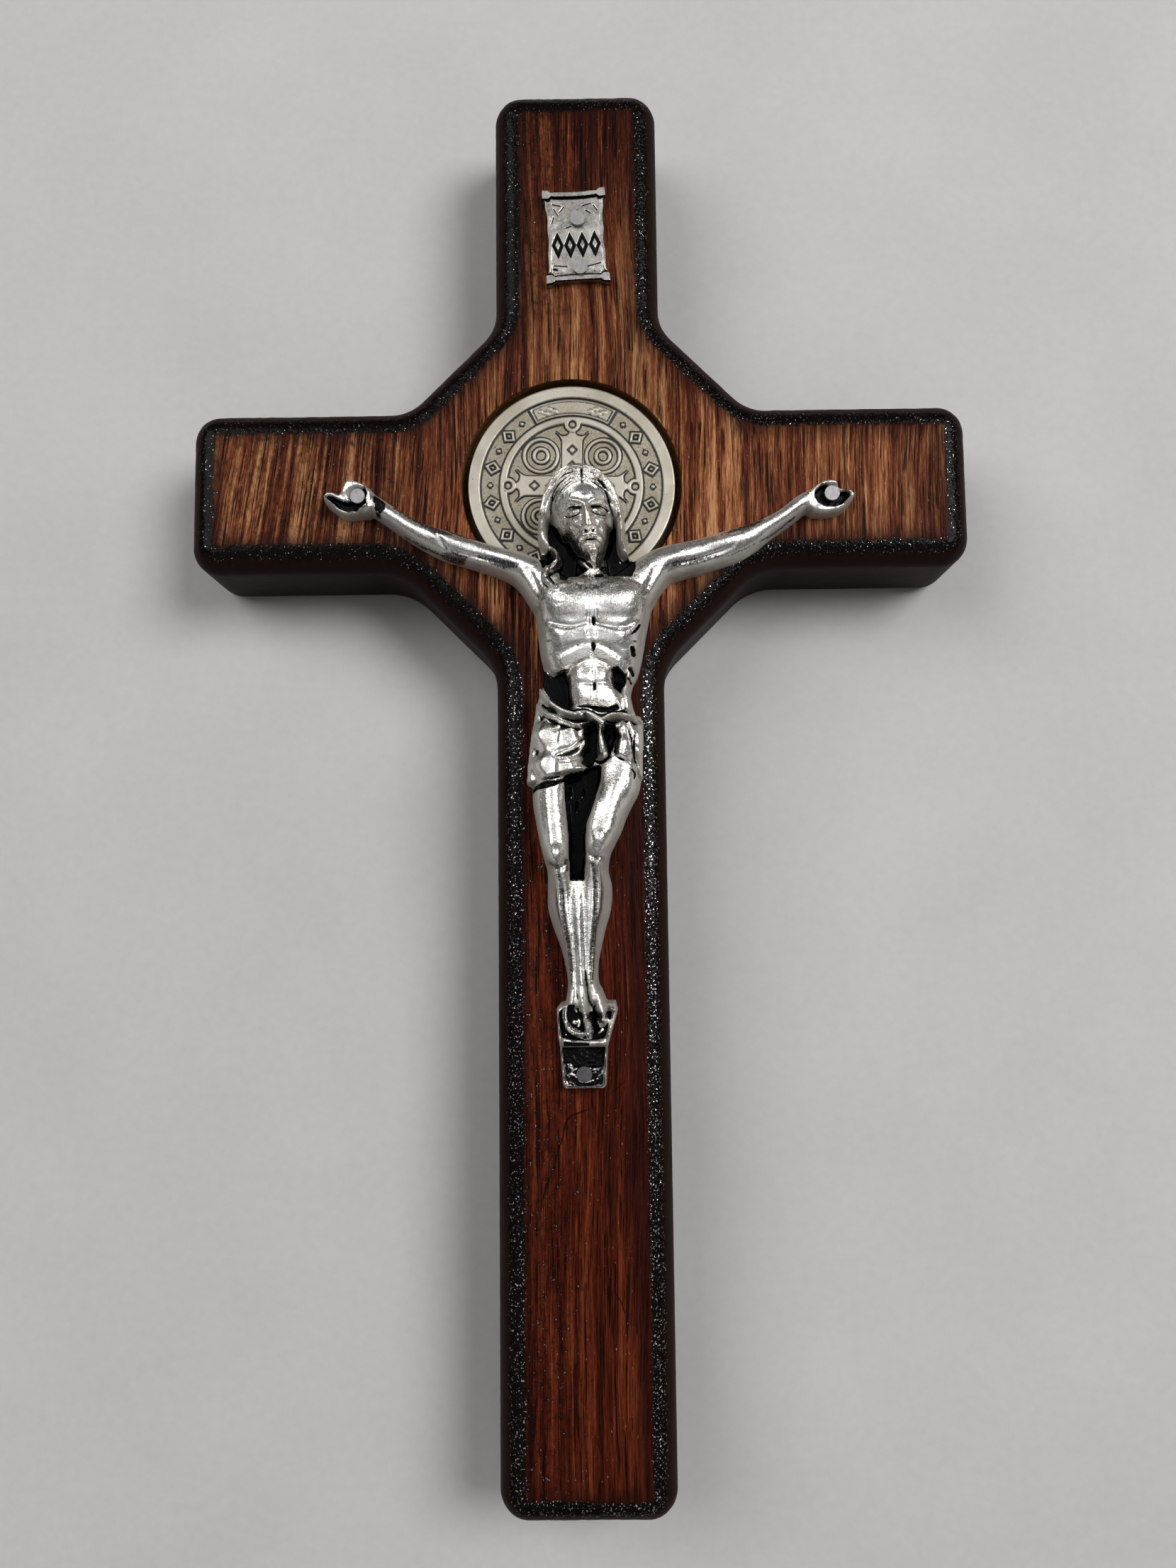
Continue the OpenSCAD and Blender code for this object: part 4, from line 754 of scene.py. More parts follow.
# a calm, plain face on even proportions
for row in [(-0.4, 81.0, 2.6, 1.4, 4, 0.22), (-2.7, 76.7, 1.3, 1.3, 25, 0.42), (2.05, 77.0, 1.3, 1.3, -25, 0.42),
            (0.55, 73.2, 1.5, 1.1, 0, 0.45), (-2.3, 78.55, 1.55, 1.0, 4, -0.60), (1.4, 78.8, 1.55, 1.0, 4, -0.60),
            (-2.25, 78.4, 0.95, 0.62, 4, 0.62), (1.35, 78.65, 0.95, 0.62, 4, 0.62),
            (-1.75, 75.6, 0.9, 0.9, 0, -0.25), (1.85, 75.85, 0.9, 0.9, 0, -0.25)]:
    swell(*row)
for rows in [
        [(-0.62, 80.2, 0.5, 0.2), (-0.50, 79.2, 0.42, 0.55), (-0.30, 78.0, 0.42, 0.95), (-0.12, 76.9, 0.46, 1.3),
         (0.0, 76.25, 0.5, 1.45), (0.06, 75.9, 0.42, 0.7)],
        [(-0.72, 76.2, 0.26, 0.45), (-0.55, 75.95, 0.24, 0.4)], [(0.80, 76.35, 0.26, 0.45), (0.68, 76.1, 0.24, 0.4)],
        [(-3.8, 79.0, 0.28, 0.2), (-2.8, 79.85, 0.32, 0.55), (-1.5, 79.75, 0.28, 0.45), (-0.8, 79.35, 0.25, 0.15)],
        [(2.9, 79.4, 0.28, 0.2), (1.9, 80.1, 0.32, 0.55), (0.6, 79.9, 0.28, 0.45), (0.0, 79.5, 0.25, 0.15)],
        [(-3.5, 78.95, 0.2, -0.25), (-2.5, 79.22, 0.2, -0.35), (-1.2, 78.95, 0.22, -0.45)],
        [(2.6, 79.25, 0.2, -0.25), (1.6, 79.45, 0.2, -0.35), (0.4, 79.1, 0.22, -0.45)],
        [(-3.2, 78.25, 0.12, -0.3), (-2.75, 78.0, 0.13, -0.5), (-2.2, 77.9, 0.14, -0.55), (-1.6, 78.0, 0.13, -0.5),
         (-1.25, 78.2, 0.12, -0.3)],
        [(2.3, 78.5, 0.12, -0.3), (1.85, 78.25, 0.13, -0.5), (1.35, 78.15, 0.14, -0.55), (0.75, 78.2, 0.13, -0.5),
         (0.4, 78.35, 0.12, -0.3)],
        [(-3.0, 77.5, 0.2, -0.1), (-2.2, 77.3, 0.2, -0.2), (-1.4, 77.5, 0.2, -0.1)],
        [(2.1, 77.75, 0.2, -0.1), (1.4, 77.55, 0.2, -0.2), (0.6, 77.7, 0.2, -0.1)],
        [(-0.95, 76.5, 0.18, -0.2), (-1.35, 75.7, 0.2, -0.3), (-1.75, 74.9, 0.22, -0.25)],
        [(1.0, 76.65, 0.18, -0.2), (1.5, 75.9, 0.2, -0.3), (2.0, 75.15, 0.22, -0.25)],
        [(-0.55, 75.75, 0.16, -0.5), (0.05, 75.6, 0.18, -0.35), (0.62, 75.85, 0.16, -0.5)],
        [(-1.9, 74.3, 0.28, 0.2), (-1.1, 74.95, 0.28, 0.5), (0.1, 75.2, 0.22, 0.3), (1.25, 75.15, 0.28, 0.5),
         (2.1, 74.7, 0.28, 0.2)],
        [(0.08, 75.4, 0.12, -0.2), (0.12, 75.0, 0.12, -0.25)],
        [(-0.8, 74.45, 0.12, -0.35), (-0.2, 74.62, 0.14, -0.55), (0.3, 74.58, 0.14, -0.6), (0.85, 74.68, 0.14, -0.55),
         (1.35, 74.6, 0.12, -0.35)],
        [(-0.35, 74.2, 0.18, 0.3), (0.35, 74.12, 0.22, 0.5), (1.0, 74.3, 0.18, 0.3)],
        [(-0.4, 73.75, 0.2, -0.35), (0.4, 73.65, 0.22, -0.5), (1.1, 73.85, 0.2, -0.35)],
        # beard locks
        [(-3.4, 76.6, 0.2, -0.2), (-2.9, 75.2, 0.2, -0.4), (-2.0, 73.8, 0.2, -0.45), (-1.0, 72.5, 0.18, -0.3)],
        [(-2.2, 74.9, 0.16, -0.2), (-1.5, 73.7, 0.17, -0.4), (-0.6, 72.5, 0.17, -0.4), (0.0, 71.6, 0.16, -0.25)],
        [(-0.7, 73.4, 0.14, -0.2), (-0.1, 72.4, 0.15, -0.38), (0.4, 71.4, 0.15, -0.2)],
        [(0.3, 73.3, 0.12, -0.15), (0.5, 72.4, 0.14, -0.35), (0.6, 71.5, 0.14, -0.2)],
        [(1.4, 73.5, 0.14, -0.2), (1.1, 72.4, 0.15, -0.38), (0.9, 71.5, 0.15, -0.2)],
        [(2.5, 75.1, 0.16, -0.2), (2.1, 73.9, 0.17, -0.4), (1.5, 72.7, 0.17, -0.4), (1.1, 71.8, 0.16, -0.25)],
        [(3.3, 76.9, 0.2, -0.2), (3.0, 75.5, 0.2, -0.4), (2.5, 74.1, 0.2, -0.4), (1.9, 72.9, 0.18, -0.3)],
        [(-0.9, 86.2, 0.14, -0.25), (-0.95, 84.4, 0.18, -0.5), (-0.9, 82.6, 0.16, -0.35)]]:
    stroke(rows)

# hollows filled with black, beside the hair and the waist, in the cloth and between the legs
hollow([(-5.55, 78.7), (-4.5, 77.5), (-3.5, 75.5), (-2.3, 74.1), (-1.5, 72.6), (-0.6, 71.2), (-1.7, 71.0),
        (-3.3, 72.0), (-3.9, 73.3), (-5.2, 74.4), (-5.75, 75.7), (-5.85, 77.3)], 3.6)
hollow([(3.35, 78.8), (3.7, 77.6), (3.75, 75.6), (3.9, 74.0), (4.3, 72.6), (3.6, 71.8), (2.7, 72.2), (2.9, 73.9),
        (3.35, 75.6), (3.25, 77.2)], 3.6)
hollow([(2.6, 71.6), (3.9, 72.5), (4.6, 73.1), (6.5, 73.1), (6.3, 71.5), (5.7, 70.1), (4.4, 70.4), (3.3, 70.2),
        (2.2, 70.9)], 3.8)
hollow([(-6.9, 74.3), (-5.3, 74.0), (-5.2, 73.2), (-5.9, 72.3), (-6.4, 71.6), (-7.0, 73.0)], 3.4)
hollow([(-3.6, 72.1), (-2.4, 72.6), (-1.3, 72.2), (-0.2, 71.3), (-0.9, 70.7), (-1.9, 70.4), (-2.6, 70.6),
        (-3.3, 69.6), (-4.1, 70.0), (-4.4, 71.3)], 4.9)
hollow([(1.3, 71.4), (2.4, 72.2), (3.3, 72.0), (3.0, 70.8), (1.9, 70.7)], 4.9)
pit([(1.0, 70.2, 0.25), (1.7, 70.3, 0.22)], sink=0.9)
pit([(0.45, 64.0, 0.2), (0.47, 63.6, 0.24), (0.45, 63.2, 0.16)], sink=0.7)
pit([(0.4, 60.6, 0.22), (0.42, 60.2, 0.26), (0.4, 59.8, 0.16)], sink=0.7)
pit([(0.5, 55.1, 0.2), (0.52, 54.75, 0.22), (0.5, 54.4, 0.14)], sink=0.7)
pit([(5.7, 60.2, 0.3), (5.85, 59.5, 0.36)], sink=0.8)
pit([(5.4, 57.5, 0.3), (5.7, 57.1, 0.36)], sink=1.0)
pit([(5.2, 56.1, 0.2), (5.5, 55.9, 0.2)], sink=0.8)
pit([(5.6, 62.0, 0.08), (6.2, 62.6, 0.16), (6.8, 63.5, 0.12)], sink=0.6)
hollow([(-6.6, 58.1), (-5.6, 56.8), (-4.6, 57.0), (-3.5, 57.3), (-3.2, 55.8), (-2.9, 54.0), (-2.5, 52.3),
        (-4.2, 52.9), (-6.1, 54.6), (-6.9, 55.6)], 3.0)
hollow([(2.9, 57.4), (3.7, 57.7), (4.6, 56.8), (4.9, 55.8), (4.6, 55.0), (3.8, 54.6), (3.2, 54.9), (3.2, 56.0)], 3.4)
hollow([(-2.2, 52.2), (0.0, 52.2), (2.4, 51.9), (3.6, 52.4), (3.9, 51.7), (2.4, 51.2), (0.9, 51.3), (-0.4, 51.9),
        (-1.6, 52.0)], 6.0, soft=0.15)
hollow([(0.0, 49.9), (-0.4, 47.5), (-0.9, 45.6), (-1.5, 44.5), (-0.6, 43.9), (0.2, 44.2), (0.6, 45.2), (0.75, 48.0),
        (0.8, 49.5)], 4.4)
hollow([(1.7, 49.4), (3.2, 49.5), (3.2, 47.6), (2.7, 46.1), (2.3, 46.8), (1.9, 48.0)], 4.6)
gap = [(-1.6, 43.1), (0.2, 43.7), (0.9, 43.9), (0.85, 42.0), (0.40, 39.6), (-0.25, 37.7), (-0.85, 36.2),
       (-1.15, 34.6), (-1.15, 33.2), (-0.95, 32.2), (-1.3, 31.2), (-1.5, 30.4), (-1.55, 28.9), (-2.9, 28.9),
       (-3.0, 30.2), (-3.1, 31.5), (-3.0, 33.4), (-3.05, 36.0), (-3.25, 38.3), (-3.5, 40.5), (-3.8, 42.4)]
hollow(gap, 2.5, soft=0.16)
nearGap = windowOf(gap, 0.8)
fromGap = polygonDepth(gap, nearGap)
black[nearGap] = np.maximum(black[nearGap], softStep(-0.55, -0.30, fromGap) * softStep(6.4, 5.8, relief[nearGap]))
# small points of bare metal stand in the gap between the legs
for rows in [[(-2.1, 39.4, 0.1, 0.5), (-2.15, 38.2, 0.1, 0.7)], [(-3.0, 41.2, 0.12, 0.4), (-2.9, 39.9, 0.1, 0.6)],
             [(-1.1, 41.0, 0.1, 0.6), (-1.4, 40.2, 0.1, 0.5)], [(-2.75, 34.95, 0.1, 0.6), (-2.55, 34.75, 0.1, 0.6)]]:
    stroke(rows)
    x, y = rows[1][:2]
    spot = windowOf([(x, y)], 0.4)
    black[spot] *= softStep(0.06, 0.14, np.hypot(gridX[spot] - x, (gridY[spot] - y) / 2.5))
pit([(-3.9, 50.3, 0.12), (-2.4, 49.9, 0.2), (-0.6, 49.9, 0.22)], sink=0.5)
pit([(0.5, 44.9, 0.15), (1.4, 44.6, 0.25), (2.4, 45.2, 0.15)], sink=0.7)
pit([(-8.3, 41.0, 0.32), (-6.6, 41.4, 0.42), (-5.0, 41.7, 0.3)], sink=0.6)
pit([(-5.0, 41.7, 0.22), (-3.3, 42.3, 0.24), (-1.8, 42.7, 0.2)], sink=0.4)
pit([(5.4, 43.5, 0.1), (5.8, 42.9, 0.2), (5.7, 42.2, 0.1)], sink=0.5)
pit([(6.0, 48.9, 0.05), (5.7, 46.6, 0.12), (5.8, 44.9, 0.12)], sink=0.3)
# palms: a seat under the pin's head, and black dishes that run out along the fingers
for x, y in ((-32.8, 83.25), (34.3, 82.7)):
    turn = np.linspace(0, 2 * math.pi, 17)[:-1]
    hollow(np.stack([x + 1.3 * np.cos(turn), y + 1.3 * np.sin(turn)], 1), 2.05, soft=0.5, paint=0.0)
hollow([(-31.6, 84.3), (-31.3, 83.4), (-31.5, 82.6), (-31.4, 81.9), (-31.9, 81.3), (-33.0, 80.85), (-34.2, 80.85),
        (-35.3, 81.3), (-36.3, 82.15), (-37.2, 82.9), (-37.15, 83.3), (-36.4, 83.3), (-35.6, 82.85), (-34.7, 82.4),
        (-34.0, 82.3), (-33.4, 82.6), (-32.9, 83.2), (-32.3, 84.2)], 1.5, soft=0.22)
hollow([(31.8, 82.9), (31.7, 82.0), (32.2, 81.2), (33.2, 80.75), (34.6, 80.7), (35.6, 81.0), (36.3, 81.6),
        (36.85, 82.2), (36.85, 82.8), (36.2, 83.0), (35.5, 82.85), (34.9, 82.9), (34.2, 83.2), (33.6, 84.0),
        (32.7, 83.8)], 1.5, soft=0.22)
hollow([(-30.5, 83.4), (-29.3, 82.6), (-28.6, 81.9), (-28.7, 81.0), (-29.6, 80.1), (-30.3, 80.5), (-30.2, 81.6),
        (-30.5, 82.3)], 3.3, soft=0.3, paint=0.8)
for row in [[(-33.4, 80.9, 0.16, 0.5), (-33.1, 81.4, 0.2, 0.5)], [(-32.3, 80.9, 0.2, 0.6), (-31.4, 81.5, 0.22, 0.6)],
            [(-36.9, 82.6, 0.2, 0.4), (-35.9, 81.8, 0.2, 0.4)], [(34.0, 80.9, 0.16, 0.6), (33.9, 81.6, 0.16, 0.6)],
            [(36.0, 81.4, 0.22, 0.5), (36.7, 81.9, 0.25, 0.5)], [(-34.2, 84.9, 0.5, 0.3), (-34.6, 83.7, 0.4, 0.3)]]:
    stroke(row)
# foot block: black floor round the feet, and the upper part of the tab
hollow([(-4.85, 10.9), (-4.3, 11.3), (-4.35, 10.2), (-4.1, 9.4), (-3.9, 8.6), (-3.3, 8.0), (-2.4, 7.5), (-1.2, 7.15),
        (-0.4, 7.3), (-0.05, 8.2), (0.0, 9.6), (-0.3, 11.6), (0.1, 11.9), (0.3, 10.8), (0.2, 9.6), (0.6, 8.8),
        (1.3, 8.9), (1.8, 9.5), (1.75, 8.4), (1.3, 7.35), (0.0, 7.1), (-3.0, 7.1), (-4.55, 7.5), (-4.75, 9.0)],
       2.5, soft=0.2)
hollow([(-3.6, 12.0), (-2.7, 12.1), (-2.4, 11.2), (-1.7, 10.7), (-1.5, 9.8), (-1.5, 8.9), (-2.2, 8.7), (-3.0, 8.9),
        (-3.7, 9.6), (-3.85, 10.8)], 3.6, soft=0.35)
hollow([(0.35, 11.3), (0.9, 11.0), (1.0, 10.4), (0.6, 10.2), (0.3, 10.5)], 4.2, soft=0.3)
hollow([(-4.2, 7.0), (-3.3, 6.9), (-0.8, 6.75), (-0.7, 6.35), (-4.3, 6.3)], 2.9, soft=0.2)
hollow([(-4.5, 6.05), (-4.3, 3.7), (-3.3, 3.9), (-2.9, 3.2), (-0.5, 3.3), (0.3, 3.2), (1.2, 3.4), (1.4, 6.05)],
       1.2, soft=0.2)
# the tab within its rim is sunk and speckled with black
tabFloor = windowOf(tab, 0.0)
tabInner = [(-4.45, 6.0), (-4.15, 1.0), (-3.9, 0.75), (0.95, 0.75), (1.15, 1.0), (1.35, 6.0)]
speckle = lumps(gridX[tabFloor], gridY[tabFloor], 0 * gridX[tabFloor], 0.45, 61)
speckle = 0.6 * speckle + 0.4 * lumps(gridX[tabFloor], gridY[tabFloor], 0 * gridX[tabFloor], 0.2, 62)
inTab = softStep(0.0, 0.15, polygonDepth(tabInner, tabFloor)) * (gridY[tabFloor] < 6.1)
relief[tabFloor] -= inTab * (0.25 + 0.35 * speckle)
black[tabFloor] = np.maximum(black[tabFloor], inTab * (0.28 + 0.72 * speckle))
pit([(-3.3, 1.9, 0.15), (-2.5, 1.2, 0.3), (-1.5, 1.0, 0.2), (-0.5, 1.1, 0.3), (0.3, 1.4, 0.25)], sink=0.15)
stroke([(-4.6, 6.2, 0.14, 0.35), (-4.35, 2.5, 0.14, 0.4), (-4.1, 0.85, 0.14, 0.4), (-3.7, 0.62, 0.14, 0.35),
        (-1.5, 0.6, 0.13, 0.3), (0.9, 0.62, 0.13, 0.35), (1.2, 0.9, 0.14, 0.4), (1.35, 3.0, 0.14, 0.4),
        (1.5, 6.2, 0.14, 0.35)])


def glints(rows):
    # rows: across, up, half width, height; rounded bright lumps that stand clear of the black
    for x, y, r, tall in rows:
        window = windowOf([(x, y)], 2 * r)
        near = np.hypot(gridX[window] - x, gridY[window] - y)
        relief[window] += tall * np.maximum(1 - (near / (1.3 * r)) ** 2, 0) * (inside[window] > 0)
        black[window] *= softStep(r * 0.75, r * 1.1, near)


glints([(-3.65, 9.1, 0.4, 0.48), (-3.35, 8.65, 0.47, 0.64), (-2.85, 8.35, 0.5, 0.76), (-2.3, 8.15, 0.5, 0.8),
        (-1.75, 8.1, 0.5, 0.8), (-1.25, 8.2, 0.5, 0.8), (-0.85, 8.5, 0.59, 0.72), (-2, 9.7, 0.4, 0.4),
        (-2.05, 9.15, 0.38, 0.4), (-2.7, 9.6, 0.31, 0.32), (-1.15, 9.7, 0.4, 0.28), (-2.2, 11.4, 0.59, 0.36),
        (0.8, 9.5, 0.62, 0.5), (1.15, 9.8, 0.45, 0.4), (1, 8.45, 0.35, 0.48), (0.6, 8.15, 0.31, 0.4),
        (0.75, 11.3, 0.8, 0.3), (1.2, 10.6, 0.6, 0.3), (-3.9, 7.85, 0.19, 0.28), (-4.6, 7.05, 0.35, 0.24),
        (0.3, 6.85, 0.24, 0.2), (0.7, 6.85, 0.26, 0.2), (1.1, 6.85, 0.26, 0.2), (-0.2, 6.8, 0.19, 0.16)])
stroke([(-2.2, 16.5, 0.18, 0.25), (-2.05, 14.0, 0.2, 0.45), (-1.6, 12.0, 0.2, 0.6), (-1.15, 10.2, 0.2, 0.5)])
stroke([(-1.65, 14.5, 0.2, -0.12), (-1.15, 12.0, 0.2, -0.2), (-0.75, 10.2, 0.18, -0.2)])
stroke([(-5.0, 10.9, 0.22, 0.45), (-4.85, 8.6, 0.18, 0.4), (-4.7, 7.2, 0.2, 0.45)])
stroke([(-4.1, 11.8, 0.12, 0.4), (-4.25, 10.6, 0.12, 0.45), (-4.15, 9.6, 0.12, 0.4)])
stroke([(2.9, 11.6, 0.3, 0.5), (2.55, 9.8, 0.25, 0.4), (2.0, 8.4, 0.2, 0.4), (1.75, 6.9, 0.2, 0.45)])
stroke([(1.6, 11.5, 0.2, 0.5), (2.3, 11.4, 0.22, 0.7), (2.6, 11.2, 0.2, 0.5)])
hollow([(1.75, 11.0), (2.3, 11.05), (2.3, 10.2), (2.0, 9.8), (1.7, 10.2)], 3.0, soft=0.2, paint=0.8)

relief += 0.05 * (lumps(gridX, gridY, relief, 1.7, 11) - 0.5) + 0.03 * (lumps(gridX, gridY, relief, 0.6, 12) - 0.5)
relief = np.clip(relief, figure["wallFoot"], figure["tallest"])

# black also settles in every narrow cavity; the drafted outer walls stay bare, rougher, and painted a paler grey as
# painted light
outlineMask = (inside > 0).astype(float)


def depthBelow(width):
    # how far the relief lies below its own mean over a bell curve of the given width
    weight = np.maximum(blurred(outlineMask, width), 0.02)
    return blurred(relief * outlineMask, width) / weight - relief


cavity = softStep(0.10, 0.42, depthBelow(figure["cavityWidth"]))
crease = softStep(0.03, 0.12, depthBelow(figure["creaseWidth"]))
slopeY, slopeX = np.gradient(blurred(relief, figure["slopeWidth"]), figure["step"])
steep = softStep(0.8, 2.0, np.hypot(slopeX, slopeY))
outerWall = softStep(1.5, 1.0, inside) * steep
# the dark film: patina, and painted shade under the pectorals and the beard, along the arms' lower edges and between
# the legs
for rows in [
        # under the pectorals, the arch of the ribs and the flanks
        [(-4.6, 63.1, 0.45, 0.35), (-3.1, 62.7, 0.5, 0.52), (-1.4, 62.8, 0.35, 0.3)],
        [(1.6, 62.8, 0.35, 0.3), (2.9, 62.6, 0.5, 0.52), (4.9, 63.0, 0.45, 0.35)],
        [(-3.4, 59.8, 0.3, 0.3), (-1.9, 60.4, 0.35, 0.5), (-0.5, 60.6, 0.3, 0.3)],
        [(1.1, 60.5, 0.3, 0.35), (2.4, 60.0, 0.4, 0.55), (3.8, 59.0, 0.3, 0.3)],
        [(-1.9, 58.4, 0.35, 0.42), (-1.0, 58.5, 0.4, 0.5)], [(1.2, 58.5, 0.4, 0.5), (2.0, 58.2, 0.35, 0.42)],
        [(-5.0, 59.4, 0.4, 0.35), (-4.2, 58.4, 0.4, 0.4), (-3.9, 57.2, 0.4, 0.4)],
        [(-6.3, 64.5, 0.35, 0.25), (-5.5, 62.0, 0.35, 0.4), (-5.4, 59.5, 0.3, 0.3)],
        [(4.4, 61.0, 0.4, 0.3), (4.9, 58.8, 0.4, 0.4)], [(-0.1, 53.4, 0.5, 0.3), (0.9, 52.4, 0.4, 0.35)],
        # breast under the beard
        [(-3.6, 69.5, 0.6, 0.45), (-1.8, 68.6, 0.8, 0.55), (0.3, 68.3, 0.9, 0.58), (2.4, 68.9, 0.8, 0.55),
         (4.0, 69.6, 0.6, 0.4)],
        [(-1.0, 70.2, 0.7, 0.6), (0.6, 70.0, 0.8, 0.6), (2.2, 70.2, 0.7, 0.6)],
        # arms: dark patches along the upper edges, hatched ones in the lower furrows, the crooks
        [(-27.5, 81.3, 0.25, 0.8), (-25.5, 80.1, 0.35, 1.0), (-23.5, 78.9, 0.55, 1.0), (-21.8, 77.9, 0.6, 1.0),
         (-20.3, 77.2, 0.45, 0.9), (-19.3, 76.9, 0.3, 0.7)],
        [(-22.0, 78.9, 0.3, 1.0), (-19.0, 77.4, 0.3, 1.0), (-16.0, 76.5, 0.35, 0.95), (-13.0, 75.8, 0.35, 0.9),
         (-10.0, 75.0, 0.3, 0.7)],
        [(-20.6, 74.5, 0.3, 0.8), (-19.4, 74.2, 0.55, 1.0), (-18.0, 73.8, 0.5, 0.95), (-17.0, 73.9, 0.3, 0.6)],
        [(-15.6, 73.8, 0.3, 0.6), (-13.8, 73.2, 0.5, 0.85), (-12.0, 72.6, 0.55, 0.95), (-10.2, 72.2, 0.5, 0.9)],
        [(-29.5, 79.4, 0.12, 0.9), (-26.5, 77.7, 0.14, 0.8), (-23.5, 75.9, 0.14, 0.8), (-20.6, 74.4, 0.14, 0.8)],
        [(-26.9, 79.0, 0.1, 0.7), (-26.6, 80.2, 0.1, 0.6)], [(-21.0, 76.3, 0.15, 0.5), (-19.8, 75.0, 0.2, 0.5)],
        [(9.2, 75.2, 0.25, 0.8), (12.5, 75.6, 0.25, 0.9), (16.0, 76.5, 0.25, 0.9), (20.0, 77.9, 0.25, 0.9),
         (24.0, 79.3, 0.22, 0.8), (26.5, 80.3, 0.2, 0.6)],
        [(18.4, 76.6, 0.3, 0.5), (20.5, 77.2, 0.5, 0.8), (22.5, 77.9, 0.55, 0.85), (24.3, 78.7, 0.4, 0.6)],
        [(10.6, 71.9, 0.4, 0.6), (12.3, 72.3, 0.5, 0.85), (14.2, 72.7, 0.5, 0.8), (16.5, 73.2, 0.4, 0.7),
         (18.0, 73.5, 0.25, 0.5)],
        [(19.0, 73.4, 0.12, 0.6), (22.0, 74.7, 0.12, 0.6), (25.5, 76.8, 0.12, 0.6), (29.0, 79.4, 0.12, 0.7)],
        [(-8.4, 71.0, 0.3, 0.5), (-7.4, 68.5, 0.3, 0.5), (-6.9, 66.3, 0.3, 0.5), (-6.4, 63.8, 0.25, 0.4)],
        [(8.8, 70.8, 0.3, 0.4), (8.0, 68.3, 0.3, 0.45), (7.4, 66.2, 0.3, 0.5), (6.9, 64.5, 0.25, 0.4)],
        # legs: inner sides, knees, the furrows of the shins
        [(-5.9, 31.0, 0.5, 0.5), (-4.6, 30.3, 0.5, 0.55)], [(-0.4, 31.6, 0.4, 0.5), (1.2, 31.3, 0.5, 0.55)],
        [(-4.7, 29.5, 0.3, 0.6), (-4.3, 27.2, 0.35, 0.85), (-4.1, 24.2, 0.35, 0.9), (-3.5, 20.5, 0.35, 0.85),
         (-3.1, 17.0, 0.3, 0.8), (-3.0, 14.8, 0.25, 0.6)],
        [(-0.1, 30.8, 0.3, 0.7), (0.3, 28.0, 0.35, 0.9), (0.25, 24.2, 0.35, 0.9), (-0.1, 20.0, 0.4, 0.9),
         (-0.3, 17.0, 0.4, 0.9), (-0.4, 14.8, 0.3, 0.7)],
        [(-3.2, 27.5, 0.5, 0.40), (-2.9, 22.0, 0.4, 0.40), (-2.6, 16.5, 0.3, 0.4)],
        [(-1.3, 27.5, 0.4, 0.42), (-1.3, 22.0, 0.4, 0.45), (-1.2, 16.5, 0.25, 0.4)],
        [(-3.6, 31.3, 0.35, 0.8), (-3.5, 29.8, 0.3, 0.6)], [(0.2, 31.4, 0.3, 0.8), (1.4, 31.6, 0.3, 0.6)],
        [(1.4, 41.5, 0.4, 0.4), (0.9, 38.8, 0.4, 0.45), (0.2, 36.5, 0.3, 0.4)],
        # cloth
        [(-2.0, 48.8, 0.4, 0.5), (-3.4, 48.2, 0.4, 0.45), (-5.0, 48.1, 0.3, 0.3)],
        [(-5.6, 46.6, 0.4, 0.4), (-5.9, 44.6, 0.4, 0.4)]]:
    darkFilmAndShade(rows)
patinaAndShade = np.clip(np.maximum(black, 0.85 * cavity + 0.4 * crease), 0, 1) * (1 - outerWall * (1 - black))
filmAndShade = np.clip(figure["filmAndShadeGain"] * filmAndShade, 0, 1)
# painted light: the drafted walls get a paler grey
draft = outerWall * (1 - black)


